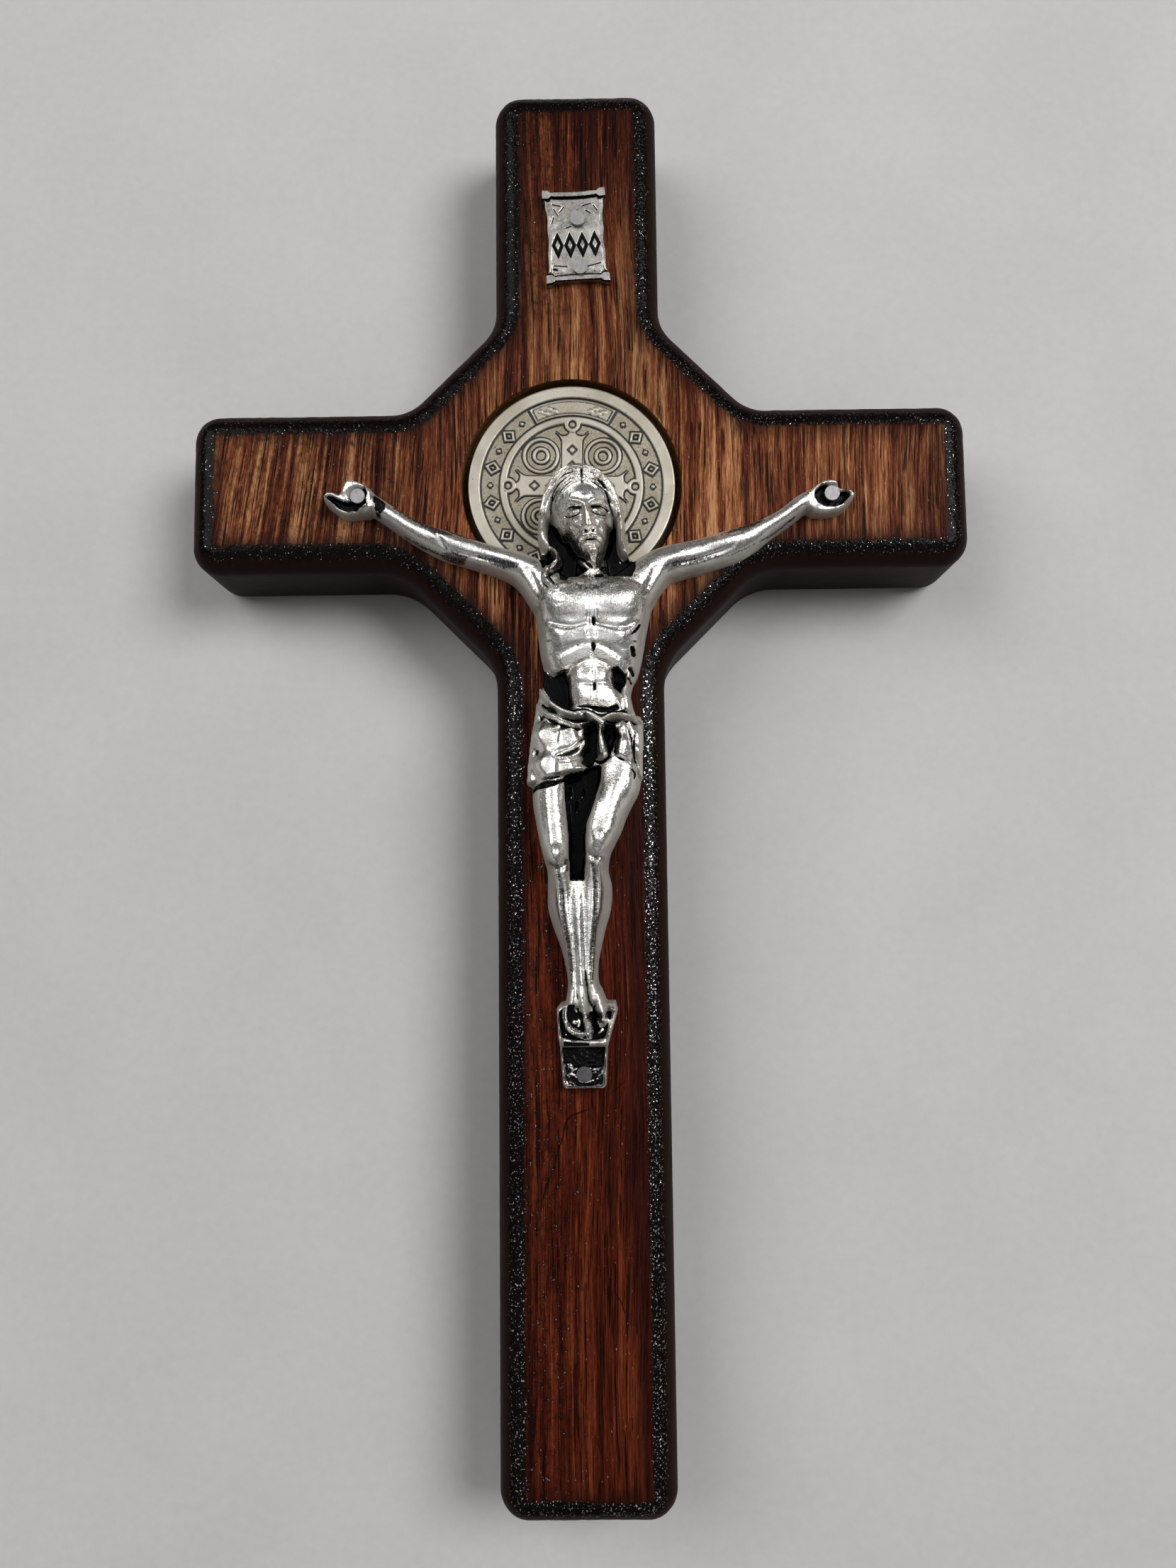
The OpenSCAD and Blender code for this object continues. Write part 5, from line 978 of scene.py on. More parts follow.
def makeRelief(name):
    # cells of the grid that lie inside are kept whole; those that the outline crosses are cut along
    # it, by the sign of the distance at their four corners; then a short wall and a flat back
    keep = inside > 0
    rimMark = [[0.2, 1.0, 0.0]]     # patina and shade, painted light of the drafted walls, and film, at the foot of the wall
    number = np.full(gridX.shape, -1)
    number[keep] = np.arange(keep.sum())
    points = [np.stack([gridX[keep], gridY[keep], relief[keep]], 1)]
    marks = [np.stack([patinaAndShade[keep], draft[keep], filmAndShade[keep]], 1)]
    count = int(keep.sum())

    def crossings(a, b):
        # where the outline crosses the grid edges from a to b
        nonlocal count
        ka, kb = keep[a], keep[b]
        hit = ka != kb
        fa, fb = inside[a][hit], inside[b][hit]
        t = np.clip(fa / (fa - fb), 0.04, 0.96)[:, None]
        pa = np.stack([gridX[a][hit], gridY[a][hit]], 1)
        pb = np.stack([gridX[b][hit], gridY[b][hit]], 1)
        place = pa * (1 - t) + pb * t
        ids = np.full(hit.shape, -1)
        ids[hit] = count + np.arange(hit.sum())
        count += int(hit.sum())
        points.append(np.column_stack([place, np.full(len(place), figure["wallFoot"])]))
        marks.append(np.repeat(rimMark, len(place), 0))
        return ids
    whole = slice(None)
    acrossIds = crossings((whole, slice(0, -1)), (whole, slice(1, None)))
    upIds = crossings((slice(0, -1), whole), (slice(1, None), whole))
    corner = [number[:-1, :-1], number[:-1, 1:], number[1:, 1:], number[1:, :-1]]
    edge = [acrossIds[:-1], upIds[:, 1:], acrossIds[1:], upIds[:, :-1]]
    case = sum((c >= 0).astype(int) << k for k, c in enumerate(corner))
    whole4 = case == 15
    quads = [np.stack([c[whole4] for c in corner], 1)]
    tris, rim = [], []
    for code in range(1, 15):
        at = case == code
        if not at.any():
            continue
        on = [bool(code >> k & 1) for k in range(4)]
        loops = []
        if code in (5, 10):
            loops = [[("c", k), ("e", k), ("e", (k + 3) % 4)] for k in range(4) if on[k]]
        else:
            loop = []
            for k in range(4):
                if on[k]:
                    loop.append(("c", k))
                if on[k] != on[(k + 1) % 4]:
                    loop.append(("e", k))
            loops = [loop]
        for loop in loops:
            ids = [corner[k][at] if kind == "c" else edge[k][at] for kind, k in loop]
            for i in range(1, len(ids) - 1):
                tris.append(np.stack([ids[0], ids[i], ids[i + 1]], 1))
            for i, (kind, k) in enumerate(loop):
                if kind == "e" and loop[(i + 1) % len(loop)][0] == "e":
                    rim.append(np.stack([ids[i], ids[(i + 1) % len(ids)]], 1))
    points, marks = np.vstack(points), np.vstack(marks)
    rim = np.vstack(rim)
    ring = np.unique(rim)
    lowId = np.full(len(points), -1)
    lowId[ring] = len(points) + np.arange(len(ring))
    foot = points[ring].copy()
    foot[:, 2] = 0
    quads.append(np.stack([rim[:, 1], rim[:, 0], lowId[rim[:, 0]], lowId[rim[:, 1]]], 1))
    points = np.vstack([points, foot])
    marks = np.vstack([marks, np.repeat(rimMark, len(foot), 0)])
    points = points + [figure["axisX"], figure["endY"], figure["faceZ"]]
    piece = makePiece(name, points, np.vstack(quads), np.vstack(tris),
                      {"patinaAndShade": marks[:, 0], "draft": marks[:, 1], "filmAndShade": marks[:, 2]})
    closeUp(piece, allRims=True)
    piece.data.set_sharp_from_angle(angle=math.radians(75))
    return piece


castFigure = makeRelief("castFigure")
print("figure:", len(castFigure.data.polygons), "faces")


# millimetres and degrees, then shares of the radius: raised rim, inner ring, the cross and the discs at
# its ends, the rings in its four fields, and the band of signs
medal = dict(across=29.8, thick=2.0, base=14.8, turn=-1.3, rings=118, spokes=720, field=0.24,
             rimFrom=0.885, ring=(0.627, 0.694), armHalf=0.10, armFlare=0.066, armEnd=0.545, discAt=0.615,
             disc=0.078, discHole=0.038, fieldAt=0.3, fieldRings=((0.145, 0.18), (0.05, 0.085)),
             band=(0.70, 0.875), signs=28, signAt=0.787, bareAngle=31)


def medalHeight(x, y):
    # x and y are shares of the radius; raised forms stand one field above the ground
    m = medal
    r = np.hypot(x, y)
    a = np.degrees(np.arctan2(x, y))              # 0 at the top, clockwise
    soft = 0.008

    def ringForm(cx, cy, inner, outer):
        d = np.hypot(x - cx, y - cy)
        return softStep(inner - soft, inner + soft, d) * softStep(outer + soft, outer - soft, d)

    def disc(cx, cy, radius):
        return softStep(radius + soft, radius - soft, np.hypot(x - cx, y - cy))
    quarters = [(math.cos(q * math.pi / 2), math.sin(q * math.pi / 2)) for q in range(4)]
    up = np.maximum(ringForm(0, 0, m["rimFrom"], 1.2), ringForm(0, 0, *m["ring"]))
    for c, s in quarters:
        # an arm that widens and forks at its end, u along it and v across
        u, v = x * c + y * s, -x * s + y * c
        half = m["armHalf"] + m["armFlare"] * np.clip((u - 0.44) / 0.10, 0, 1) ** 1.6
        end = m["armEnd"]
        arm = softStep(half + soft, half - soft, np.abs(v)) * softStep(end, end - 0.015, u) * softStep(-0.11, -0.09, u)
        notch = softStep(0.05, 0.07, np.hypot(u - end - 0.015, np.abs(v) - 0.085))
        up = np.maximum(up, arm * np.where(u > 0.5, notch, 1))
        up = np.maximum(up, disc(c * m["discAt"], s * m["discAt"], m["disc"]))
        for inner, outer in m["fieldRings"]:
            up = np.maximum(up, ringForm((c - s) * m["fieldAt"], (s + c) * m["fieldAt"], inner, outer))
    for c, s in quarters:
        up = up * (1 - disc(c * m["discAt"], s * m["discAt"], m["discHole"]))
        u, v = x * c + y * s, -x * s + y * c
        for at in (0.2, 0.36):
            diamond = np.abs(u - at) + np.abs(v)
            up = up * (1 - 0.7 * softStep(0.016, 0.006, np.abs(diamond - 0.045)))
    # band of plain lozenges and dots; at the top a framed field holds two plain sprigs
    inBand = (r > m["band"][0]) & (r < m["band"][1])
    step = 360 / m["signs"]
    near = (a / step - np.round(a / step)) * step
    arc = np.radians(near) * r
    which = np.round(a / step).astype(int) % 2
    reach = np.abs(arc) * 1.15 + np.abs(r - m["signAt"])
    lozenge = softStep(0.086, 0.074, reach) * softStep(0.036, 0.048, reach)
    lozenge = np.maximum(lozenge, softStep(0.024, 0.014, reach))
    dot = softStep(0.024, 0.014, np.hypot(arc, r - m["signAt"]))
    band = np.where(which == 0, lozenge, dot) * (np.abs(a) > m["bareAngle"])
    cartouche = softStep(29.6, 29.2, np.abs(a)) * softStep(0.70, 0.712, r) * softStep(0.872, 0.86, r)
    inner = softStep(28.3, 27.9, np.abs(a)) * softStep(0.718, 0.73, r) * softStep(0.856, 0.844, r)
    sprig = 0
    for side in (-1, 1):
        for k in range(4):
            at = math.radians(side * (13 + 3.2 * k))
            cx, cy = 0.785 * math.sin(at), 0.785 * math.cos(at)
            lift = 0.016 * (1 if k % 2 else -1)
            leaf = np.hypot((x - cx - lift * math.sin(at)) * 0.8, y - cy - lift * math.cos(at))
            sprig = np.maximum(sprig, softStep(0.026, 0.014, leaf))
    band = np.maximum(band, cartouche * (1 - 0.55 * inner) + 0.5 * sprig * inner)
    return np.where(inBand, np.maximum(up, band), up)


def makeMedal():
    # x, y from the turn and the distance; z = base + thickness - field * (1 - height)
    m = medal
    radius = m["across"] / 2
    turn = np.linspace(0, 2 * math.pi, m["spokes"], endpoint=False)
    r = np.concatenate([[0.004], np.linspace(0.012, 0.985, m["rings"]), [0.994, 1.0]])
    rr, aa = np.meshgrid(r, turn, indexing="ij")
    x, y = rr * np.cos(aa), rr * np.sin(aa)
    up = medalHeight(x, y)
    wear = lumps(x * radius, y * radius, 0 * x, 1.3, 21) - 0.5
    grit = lumps(x * radius, y * radius, 0 * x, 0.22, 22)
    z = m["base"] + m["thick"] - m["field"] * (1 - up) + 0.02 * wear - 0.03 * (1 - up) * grit - 0.012
    z[-1] -= 0.10
    z[-2] -= 0.03
    z = np.minimum(z, m["base"] + m["thick"])
    wallR = np.array([1.0, 1.0, 0.99])
    wallZ = np.array([m["base"] + 1.0, m["base"] + 0.12, m["base"]])
    wx, wy = wallR[:, None] * np.cos(turn), wallR[:, None] * np.sin(turn)
    x, y = np.vstack([x, wx]) * radius, np.vstack([y, wy]) * radius
    z = np.vstack([z, np.repeat(wallZ[:, None], len(turn), 1)])
    rows = len(x)
    # black lines lie where the ground is lower than what stands round it
    dark = np.zeros(x.shape)
    top = z[:len(r)]
    near = np.maximum.reduce([np.roll(top, k, 1) for k in (-3, -2, 2, 3)]
                             + [np.vstack([top[j:], np.repeat(top[-1:], j, 0)]) for j in (1, 2)]
                             + [np.vstack([np.repeat(top[:1], j, 0), top[:-j]]) for j in (1, 2)])
    dark[:len(r)] = softStep(0.06, 0.2, near - top)
    c, s = math.cos(math.radians(m["turn"])), math.sin(math.radians(m["turn"]))
    px, py = x * c - y * s + board["pocketX"], x * s + y * c + barY
    points = np.stack([px, py, z], -1).reshape(-1, 3)
    ends = [[board["pocketX"], barY, z[0].mean()], [board["pocketX"], barY, m["base"]]]
    points = np.vstack([points, ends])
    n = np.arange(len(turn))
    after = (n + 1) % len(turn)
    last = (rows - 1) * len(turn)
    tris = np.vstack([np.stack([after, n, np.full(len(n), len(points) - 2)], 1),
                      np.stack([last + n, last + after, np.full(len(n), len(points) - 1)], 1)])
    ground = np.zeros(x.shape)
    ground[:len(r)] = 1 - up
    return makePiece("roundMedal", points, gridFaces(rows, len(turn), 0, True), tris,
                     {"lines": np.append(dark.ravel(), [0, 0]), "ground": np.append(ground.ravel(), [0, 0])},
                     sharp=60)


roundMedal = makeMedal()
print("medal:", len(roundMedal.data.polygons), "faces")


scroll = dict(wide=9.2, tall=14.4, thick=1.3, roll=1.35, rollWaist=0.55, drop=23.7, turn=2.5,
              columns=150, rows=220, signs=(-2.7, -0.9, 0.9, 2.7), signY=-1.35, signWide=0.86, signTall=2.0,
              scratches=[
                  (-3.2, 5.0, -2.0, 4.7), (-3.0, 4.3, -2.4, 3.2), (-2.2, 3.8, -1.5, 4.6), (1.2, 4.6, 2.4, 4.9),
                  (1.6, 3.9, 2.3, 3.4), (2.8, 4.6, 3.3, 3.8), (-3.4, 2.0, -3.1, 3.0), (-1.4, 1.3, -0.6, 1.5),
                  (-3.4, -4.4, -1.5, -4.6), (1.4, -4.7, 3.4, -4.3)])


def makeScroll():
    # across = half width(v) * u, so that the sides draw in; up = v times the reach of the roll there;
    # height = plate, or the plate's plus the roll's circle, thick at the ends and thin at the waist
    s = scroll
    half, reach = s["wide"] / 2, s["tall"] / 2
    v = np.linspace(-1, 1, s["rows"])
    u = np.concatenate([[-1], np.linspace(-0.985, 0.985, s["columns"]), [1]])
    vv, uu = np.meshgrid(v, u, indexing="ij")
    knob = softStep(0.70, 0.84, np.abs(uu)) - 0.22 * np.exp(-((np.abs(uu) - 0.72) / 0.035) ** 2)
    bend = 0.16 * np.sin(uu * 2.6 + vv * 1.3)
    radius = s["roll"] / 2 * (s["rollWaist"] + (1 - s["rollWaist"]) * knob)
    middle = reach - s["roll"] / 2 - 0.20 * (1 - uu ** 2) * (1 + bend)
    y = vv * (middle + radius)
    fromRoll = np.abs(np.abs(y) - middle)
    inRoll = fromRoll < radius
    plateHalf = half * 0.95 * (1 - 0.07 * (1 - (y / middle) ** 2)) + 0.07 * np.sin(y * 1.7)
    share = softStep(reach - 1.9, reach - 1.3, np.abs(y))
    x = uu * (plateHalf * (1 - share) + half * share)
    rollTop = s["thick"] + np.sqrt(np.maximum(radius ** 2 - fromRoll ** 2, 0))
    plate = s["thick"] + 0.12 * np.cos(y * 0.45) * np.abs(uu) ** 2 - 0.16 * (1 - np.abs(uu) ** 3)
    plate = plate + 0.12 * softStep(0.88, 0.94, np.abs(uu)) - 0.10 * softStep(0.965, 1.0, np.abs(uu))
    outside = np.abs(y) > middle
    z = np.where(inRoll, np.where(outside, rollTop, np.maximum(rollTop, plate)), plate)
    z = z * np.where(np.abs(uu) > 0.999, 0.75, 1)
    dark = np.zeros(z.shape)
    # a row of plain lozenges, black round a raised middle
    for cx in s["signs"]:
        diamond = np.abs(x - cx) / s["signWide"] + np.abs(y - s["signY"]) / s["signTall"]
        mark = softStep(1.04, 0.94, diamond) * softStep(0.42, 0.54, diamond)
        z = z - 0.28 * mark + 0.12 * softStep(0.46, 0.30, diamond)
        dark = np.maximum(dark, mark)
    for x0, y0, x1, y1 in s["scratches"]:
        dx, dy = x1 - x0, y1 - y0
        t = np.clip(((x - x0) * dx + (y - y0) * dy) / (dx * dx + dy * dy), 0, 1)
        d = np.hypot(x - x0 - t * dx, y - y0 - t * dy)
        z = z - 0.07 * softStep(0.12, 0.03, d)
        dark = np.maximum(dark, 0.8 * softStep(0.13, 0.05, d))
    # dark lies in the seam under each roll and in the lower corners; the underside of the lower roll is darkened as
    # painted shade
    seam = softStep(0.30, 0.10, np.abs(np.abs(y) - middle + radius * 1.15)) * (np.abs(y) < middle)
    corners = softStep(0.7, 0.2, np.abs(y + middle - 1.2)) * softStep(0.35, 0.6, np.abs(uu)) * (y < 0)
    dark = np.maximum(dark, 0.8 * seam)
    dark = np.maximum(dark, 0.75 * corners * lumps(x, y, 0 * x, 0.8, 33) * 1.4 * softStep(0.92, 0.88, np.abs(uu)))
    z = z - 0.12 * seam - 0.10 * corners * softStep(0.92, 0.88, np.abs(uu))
    # painted shade on the underside of the lower roll
    dark = np.maximum(dark, 0.8 * softStep(0.75, 0.95, fromRoll / radius) * outside * (y < 0))
    z = z + 0.05 * (lumps(x, y, z, 0.8, 31) - 0.5)
    z = np.clip(z, 0.08, s["roll"] * 0.98)
    c, n = math.cos(math.radians(s["turn"])), math.sin(math.radians(s["turn"]))
    px, py = x * c - y * n, x * n + y * c + topY - s["drop"]
    rows, columns = z.shape
    topPoints = np.stack([px, py, z + board["thick"]], -1).reshape(-1, 3)
    # the back: the same rim, flat on the wood
    order = np.arange(rows * columns).reshape(rows, columns)
    rim = np.concatenate([order[0, :-1], order[:-1, -1], order[-1, :0:-1], order[:0:-1, 0]])
    foot = topPoints[rim].copy()
    foot[:, 2] = board["thick"]
    points = np.vstack([topPoints, foot, foot.mean(0)[None]])
    after = np.roll(rim, -1)
    low = rows * columns + np.arange(len(rim))
    lowAfter = np.roll(low, -1)
    quads = np.vstack([gridFaces(rows, columns), np.stack([rim, low, lowAfter, after], 1)])
    tris = np.stack([lowAfter, low, np.full(len(rim), len(points) - 1)], 1)
    patinaAndShadeRow = np.concatenate([dark.ravel(), np.zeros(len(rim) + 1)])
    piece = makePiece("scrollPlate", points, quads, tris,
                      {"patinaAndShade": patinaAndShadeRow, "draft": 0 * patinaAndShadeRow, "filmAndShade": 0 * patinaAndShadeRow}, sharp=60)
    closeUp(piece)
    return piece


scrollPlate = makeScroll()
print("scroll:", len(scrollPlate.data.polygons), "faces")


# shares of the grain's four sizes, how dark its marks are, and where the stain and lacquer set in, in
# millimetres from the outline or round the edge; stains go by the grain's tone; paints are 8-bit colours
# the glint and bead paints are painted highlights, pale flecks that stand in for gloss
woodLook = dict(broad=0.75, streak=1.05, fibre=0.60, dash=0.35, pores=0.92, blotch=0.40, glints=0.45,
                burn=0.80, burnFrom=6.6, burnTo=2.9, flareSum=37.2, lacquerFrom=3.75, lacquerTo=3.00,
                middle=[(0.28, (48, 15, 8)), (0.44, (92, 43, 24)), (0.57, (134, 80, 48)), (0.74, (184, 134, 92))],
                lower=[(0.28, (28, 7, 3)), (0.45, (58, 17, 7)), (0.60, (84, 32, 16)), (0.78, (118, 56, 30))],
                upper=[(0.30, (20, 5, 2)), (0.47, (42, 13, 6)), (0.62, (78, 32, 16)), (0.80, (134, 78, 46))],
                inPocket=[(0.3, (46, 26, 15)), (0.7, (104, 74, 46))], blotchPaint=(48, 16, 8),
                porePaint=(10, 4, 3), glintPaint=(205, 175, 150), scratchPaint=(9, 4, 3), burnPaint=(34, 10, 6),
                sidePaint=(30, 18, 15), edgePaint=(7, 4, 3), beadHighlightPaint=(190, 188, 188))
# height and place across along each line, then its width and strength: a curved scratch, short cracks
scratches = [([(-47.0, 0.5), (-47.4, -0.7), (-48.0, -2.1), (-48.8, -2.7), (-50.5, -3.0), (-52.4, -3.7),
               (-54.6, -4.3), (-57.4, -5.4), (-59.7, -6.1)], 0.11, 0.9),
             ([(-71.0, 3.7), (-72.4, 4.6), (-74.6, 5.4)], 0.10, 0.8), ([(-77.0, 2.2), (-79.6, 2.0)], 0.09, 0.7),
             ([(-43.3, 5.6), (-44.2, 4.4), (-45.4, 3.0)], 0.09, 0.7)]


def scratchShare(tree, x, y, line, width):
    # 1 where x is near the line at the height y; two ramps over the height give its place and slope
    line = sorted(line)
    low, high = line[0][0], line[-1][0]
    share = stretch(tree, y, low, high, 0, 1, False)
    placeStops, slopeStops = [], []
    for i, (up, across) in enumerate(line):
        before, after = line[max(i - 1, 0)], line[min(i + 1, len(line) - 1)]
        slope = math.hypot(1, (after[1] - before[1]) / (after[0] - before[0]))
        at = (up - low) / (high - low)
        placeStops.append((at, ((across + 20) / 40,) * 3 + (1,)))
        slopeStops.append((at, (slope / 10,) * 3 + (1,)))
    place = calc(tree, "MULTIPLY_ADD", ramp(tree, share, placeStops), 40.0, -20.0)
    away = calc(tree, "ABSOLUTE", minus(tree, x, place))
    away = calc(tree, "DIVIDE", away, times(tree, ramp(tree, share, slopeStops), 10.0 * width))
    ends = times(tree, stretch(tree, y, low - 0.2, low + 1.2), stretch(tree, y, high + 0.2, high - 0.2))
    return times(tree, stretch(tree, away, 1.2, 0.7), ends)


def fromOutline(tree, x, y):
    # distance inside the outline: the largest of upright, bar and slanted flares, cut by both ends
    ax, dy = calc(tree, "ABSOLUTE", x), calc(tree, "ABSOLUTE", minus(tree, y, barY))
    inStem = minus(tree, board["stem"] / 2, ax)
    inBar = minus(tree, board["bar"] / 2, dy)
    inFlare = times(tree, minus(tree, woodLook["flareSum"], plus(tree, ax, dy)), 0.707)
    within = calc(tree, "MAXIMUM", calc(tree, "MAXIMUM", inStem, inBar), inFlare)
    endX = minus(tree, board["width"] / 2, ax)
    endY = minus(tree, board["height"] / 2, calc(tree, "ABSOLUTE", y))
    return calc(tree, "MINIMUM", within, calc(tree, "MINIMUM", endX, endY))


def stainedWood():
    # streaks, fibres and dark pores along the upright, red-brown stain that changes with height,
    # and near-black lacquer over the rounded edge
    material, tree, shader = newMaterial("stainedWood")
    look = woodLook
    x, y, z = put(tree, "ShaderNodeSeparateXYZ", {0: millimetres(tree)}).outputs
    # the grain sways, and leans out to the left
    leftLean = stretch(tree, x, -8, -40, 0, 0.13)
    lean = times(tree, minus(tree, y, barY), leftLean)
    bent = plus(tree, minus(tree, x, lean), times(tree, noise(tree, (0.05, 0.014, 0.05)), 5.0))

    def grain(across, along, shift=0.0):
        return put(tree, "ShaderNodeCombineXYZ", {
            0: times(tree, bent, across), 1: calc(tree, "MULTIPLY_ADD", y, along, shift),
            2: times(tree, z, across * 0.6)}).outputs[0]
    broad = noise(tree, grain(0.33, 0.012), 3, 0.55)
    streak = noise(tree, grain(1.7, 0.034, 3.0), 4, 0.62)
    fibre = noise(tree, grain(5.6, 0.22, 7.0), 3, 0.65)
    dash = noise(tree, grain(9.0, 0.9, 11.0), 2, 0.6)
    longPores = stretch(tree, noise(tree, grain(3.6, 0.07, 17.0)), 0.59, 0.64)
    thinPores = stretch(tree, noise(tree, grain(7.0, 0.11, 29.0), 1), 0.585, 0.635)
    broken = stretch(tree, noise(tree, grain(1.3, 0.16, 23.0)), 0.40, 0.52)
    pores = times(tree, calc(tree, "MAXIMUM", longPores, thinPores), broken)
    tone = times(tree, broad, look["broad"])
    for cloud, share in ((streak, look["streak"]), (fibre, look["fibre"]), (dash, look["dash"])):
        tone = plus(tree, tone, times(tree, cloud, share))
    tone = minus(tree, tone, 0.875)
    height = vary(tree, y, streak, 60.0)
    warm = blendColour(tree, stretch(tree, height, 36, 6), paintRamp(tree, tone, look["middle"]),
                       paintRamp(tree, tone, look["lower"]))
    warm = blendColour(tree, stretch(tree, height, 66, 90), warm, paintRamp(tree, tone, look["upper"]))
    blotch = stretch(tree, noise(tree, (0.07, 0.022, 0.07), 3), 0.42, 0.70)
    warm = tint(tree, times(tree, blotch, look["blotch"]), warm, look["blotchPaint"])
    warm = tint(tree, times(tree, pores, look["pores"]), warm, look["porePaint"])
    # painted highlights: small pale glints of gloss at the pores are painted into the colour
    glint = stretch(tree, noise(tree, grain(5.0, 1.6, 41.0), 1), 0.745, 0.775)
    warm = tint(tree, times(tree, glint, look["glints"]), warm, look["glintPaint"])
    for line, width, strength in scratches:
        mark = scratchShare(tree, x, y, line, width)
        warm = tint(tree, times(tree, mark, strength), warm, look["scratchPaint"])
    # the stain darkens softly towards the outline, and further in at the lower right
    within = vary(tree, fromOutline(tree, x, y), noise(tree, (0.9, 0.30, 0.9), 3, 0.6), 2.4)
    rightSide = times(tree, stretch(tree, x, 2, 8), stretch(tree, y, 20, -10))
    within = minus(tree, within, times(tree, rightSide, 1.3))
    burn = stretch(tree, within, look["burnFrom"], look["burnTo"])
    warm = tint(tree, times(tree, burn, look["burn"]), warm, look["burnPaint"])
    edge = vary(tree, attribute(tree, "edge"), noise(tree, (1.3, 0.9, 1.3), 3, 0.6), 1.5)
    lacquer = stretch(tree, plus(tree, edge, stretch(tree, x, -4, 4, -0.35, 0.0)),
                      look["lacquerFrom"], look["lacquerTo"])
    pocket = stretch(tree, attribute(tree, "pocket"), 0.2, 0.6)
    pocketTone = paintRamp(tree, noise(tree, 1.8, 4, 0.7), look["inPocket"])
    colour = blendColour(tree, pocket, warm, pocketTone)
    sideTone = tint(tree, stretch(tree, edge, 0.8, 2.2), fromPaint(*look["sidePaint"]), look["edgePaint"])
    colour = blendColour(tree, lacquer, colour, sideTone)
    ridge = times(tree, stretch(tree, edge, 0.9, 1.9), stretch(tree, z, 12.6, 15.4))
    ridge = times(tree, lacquer, ridge)
    # painted highlights: the beads that catch the light are tiny pale dots painted into the colour, and denser towards
    # the right
    dots = noise(tree, (3.9, 3.0, 3.9), 2, 0.7)
    dots = plus(tree, dots, stretch(tree, x, -14, 12, -0.02, 0.0))
    dots = plus(tree, dots, stretch(tree, y, 22, 8, -0.035, 0.012))
    dots = vary(tree, dots, noise(tree, (0.5, 0.35, 0.5), 2, 0.6), 0.08)
    dots = times(tree, stretch(tree, dots, 0.62, 0.66), stretch(tree, ridge, 0.3, 0.8))
    colour = tint(tree, dots, colour, look["beadHighlightPaint"])
    rough = stretch(tree, streak, 0.3, 0.7, 0.34, 0.48, False)
    roughEdge = stretch(tree, ridge, 0, 1, 0.46, 0.11, False)
    gloss = blend(tree, lacquer, 0.04, stretch(tree, ridge, 0, 1, 0.035, 0.055))
    for value, socket in ((colour, "Base Color"), (dots, "Metallic"), (gloss, "Specular IOR Level"),
                          (blend(tree, lacquer, rough, roughEdge), "Roughness")):
        tree.links.new(value, shader.inputs[socket])
    # relief: pores and fibres sink, lacquer dries in beads on the front round-over
    beads = put(tree, "ShaderNodeTexVoronoi", {"Vector": millimetres(tree), "Scale": 2.3,
                                               "Randomness": 1.0}, feature="SMOOTH_F1").outputs[0]
    beadShare = times(tree, ridge, stretch(tree, x, -12, 12, 0.55, 1.0))
    beaded = times(tree, times(tree, beads, beadShare), -0.07)
    pebbled = times(tree, times(tree, noise(tree, 3.0, 2, 0.6), beadShare), 0.08)
    grained = times(tree, plus(tree, times(tree, fibre, 0.09), times(tree, pores, -0.12)),
                    minus(tree, 1.0, lacquer))
    waves = times(tree, noise(tree, 0.5), 0.04)
    bumped(tree, shader, plus(tree, plus(tree, beaded, pebbled), plus(tree, grained, waves)))
    return material


# the film colour is patina and painted shade; the draft colour is a paler grey painted on the drafted walls as painted
# light
silverLook = dict(smoke=(112, 106, 98), filmAndShade=(34, 31, 29), draft=(176, 170, 161), ink=(6, 6, 7),
                  filmAndShadeShare=0.9, draftShare=0.72, draftDull=0.38, inkRough=0.16, shine=0.06)


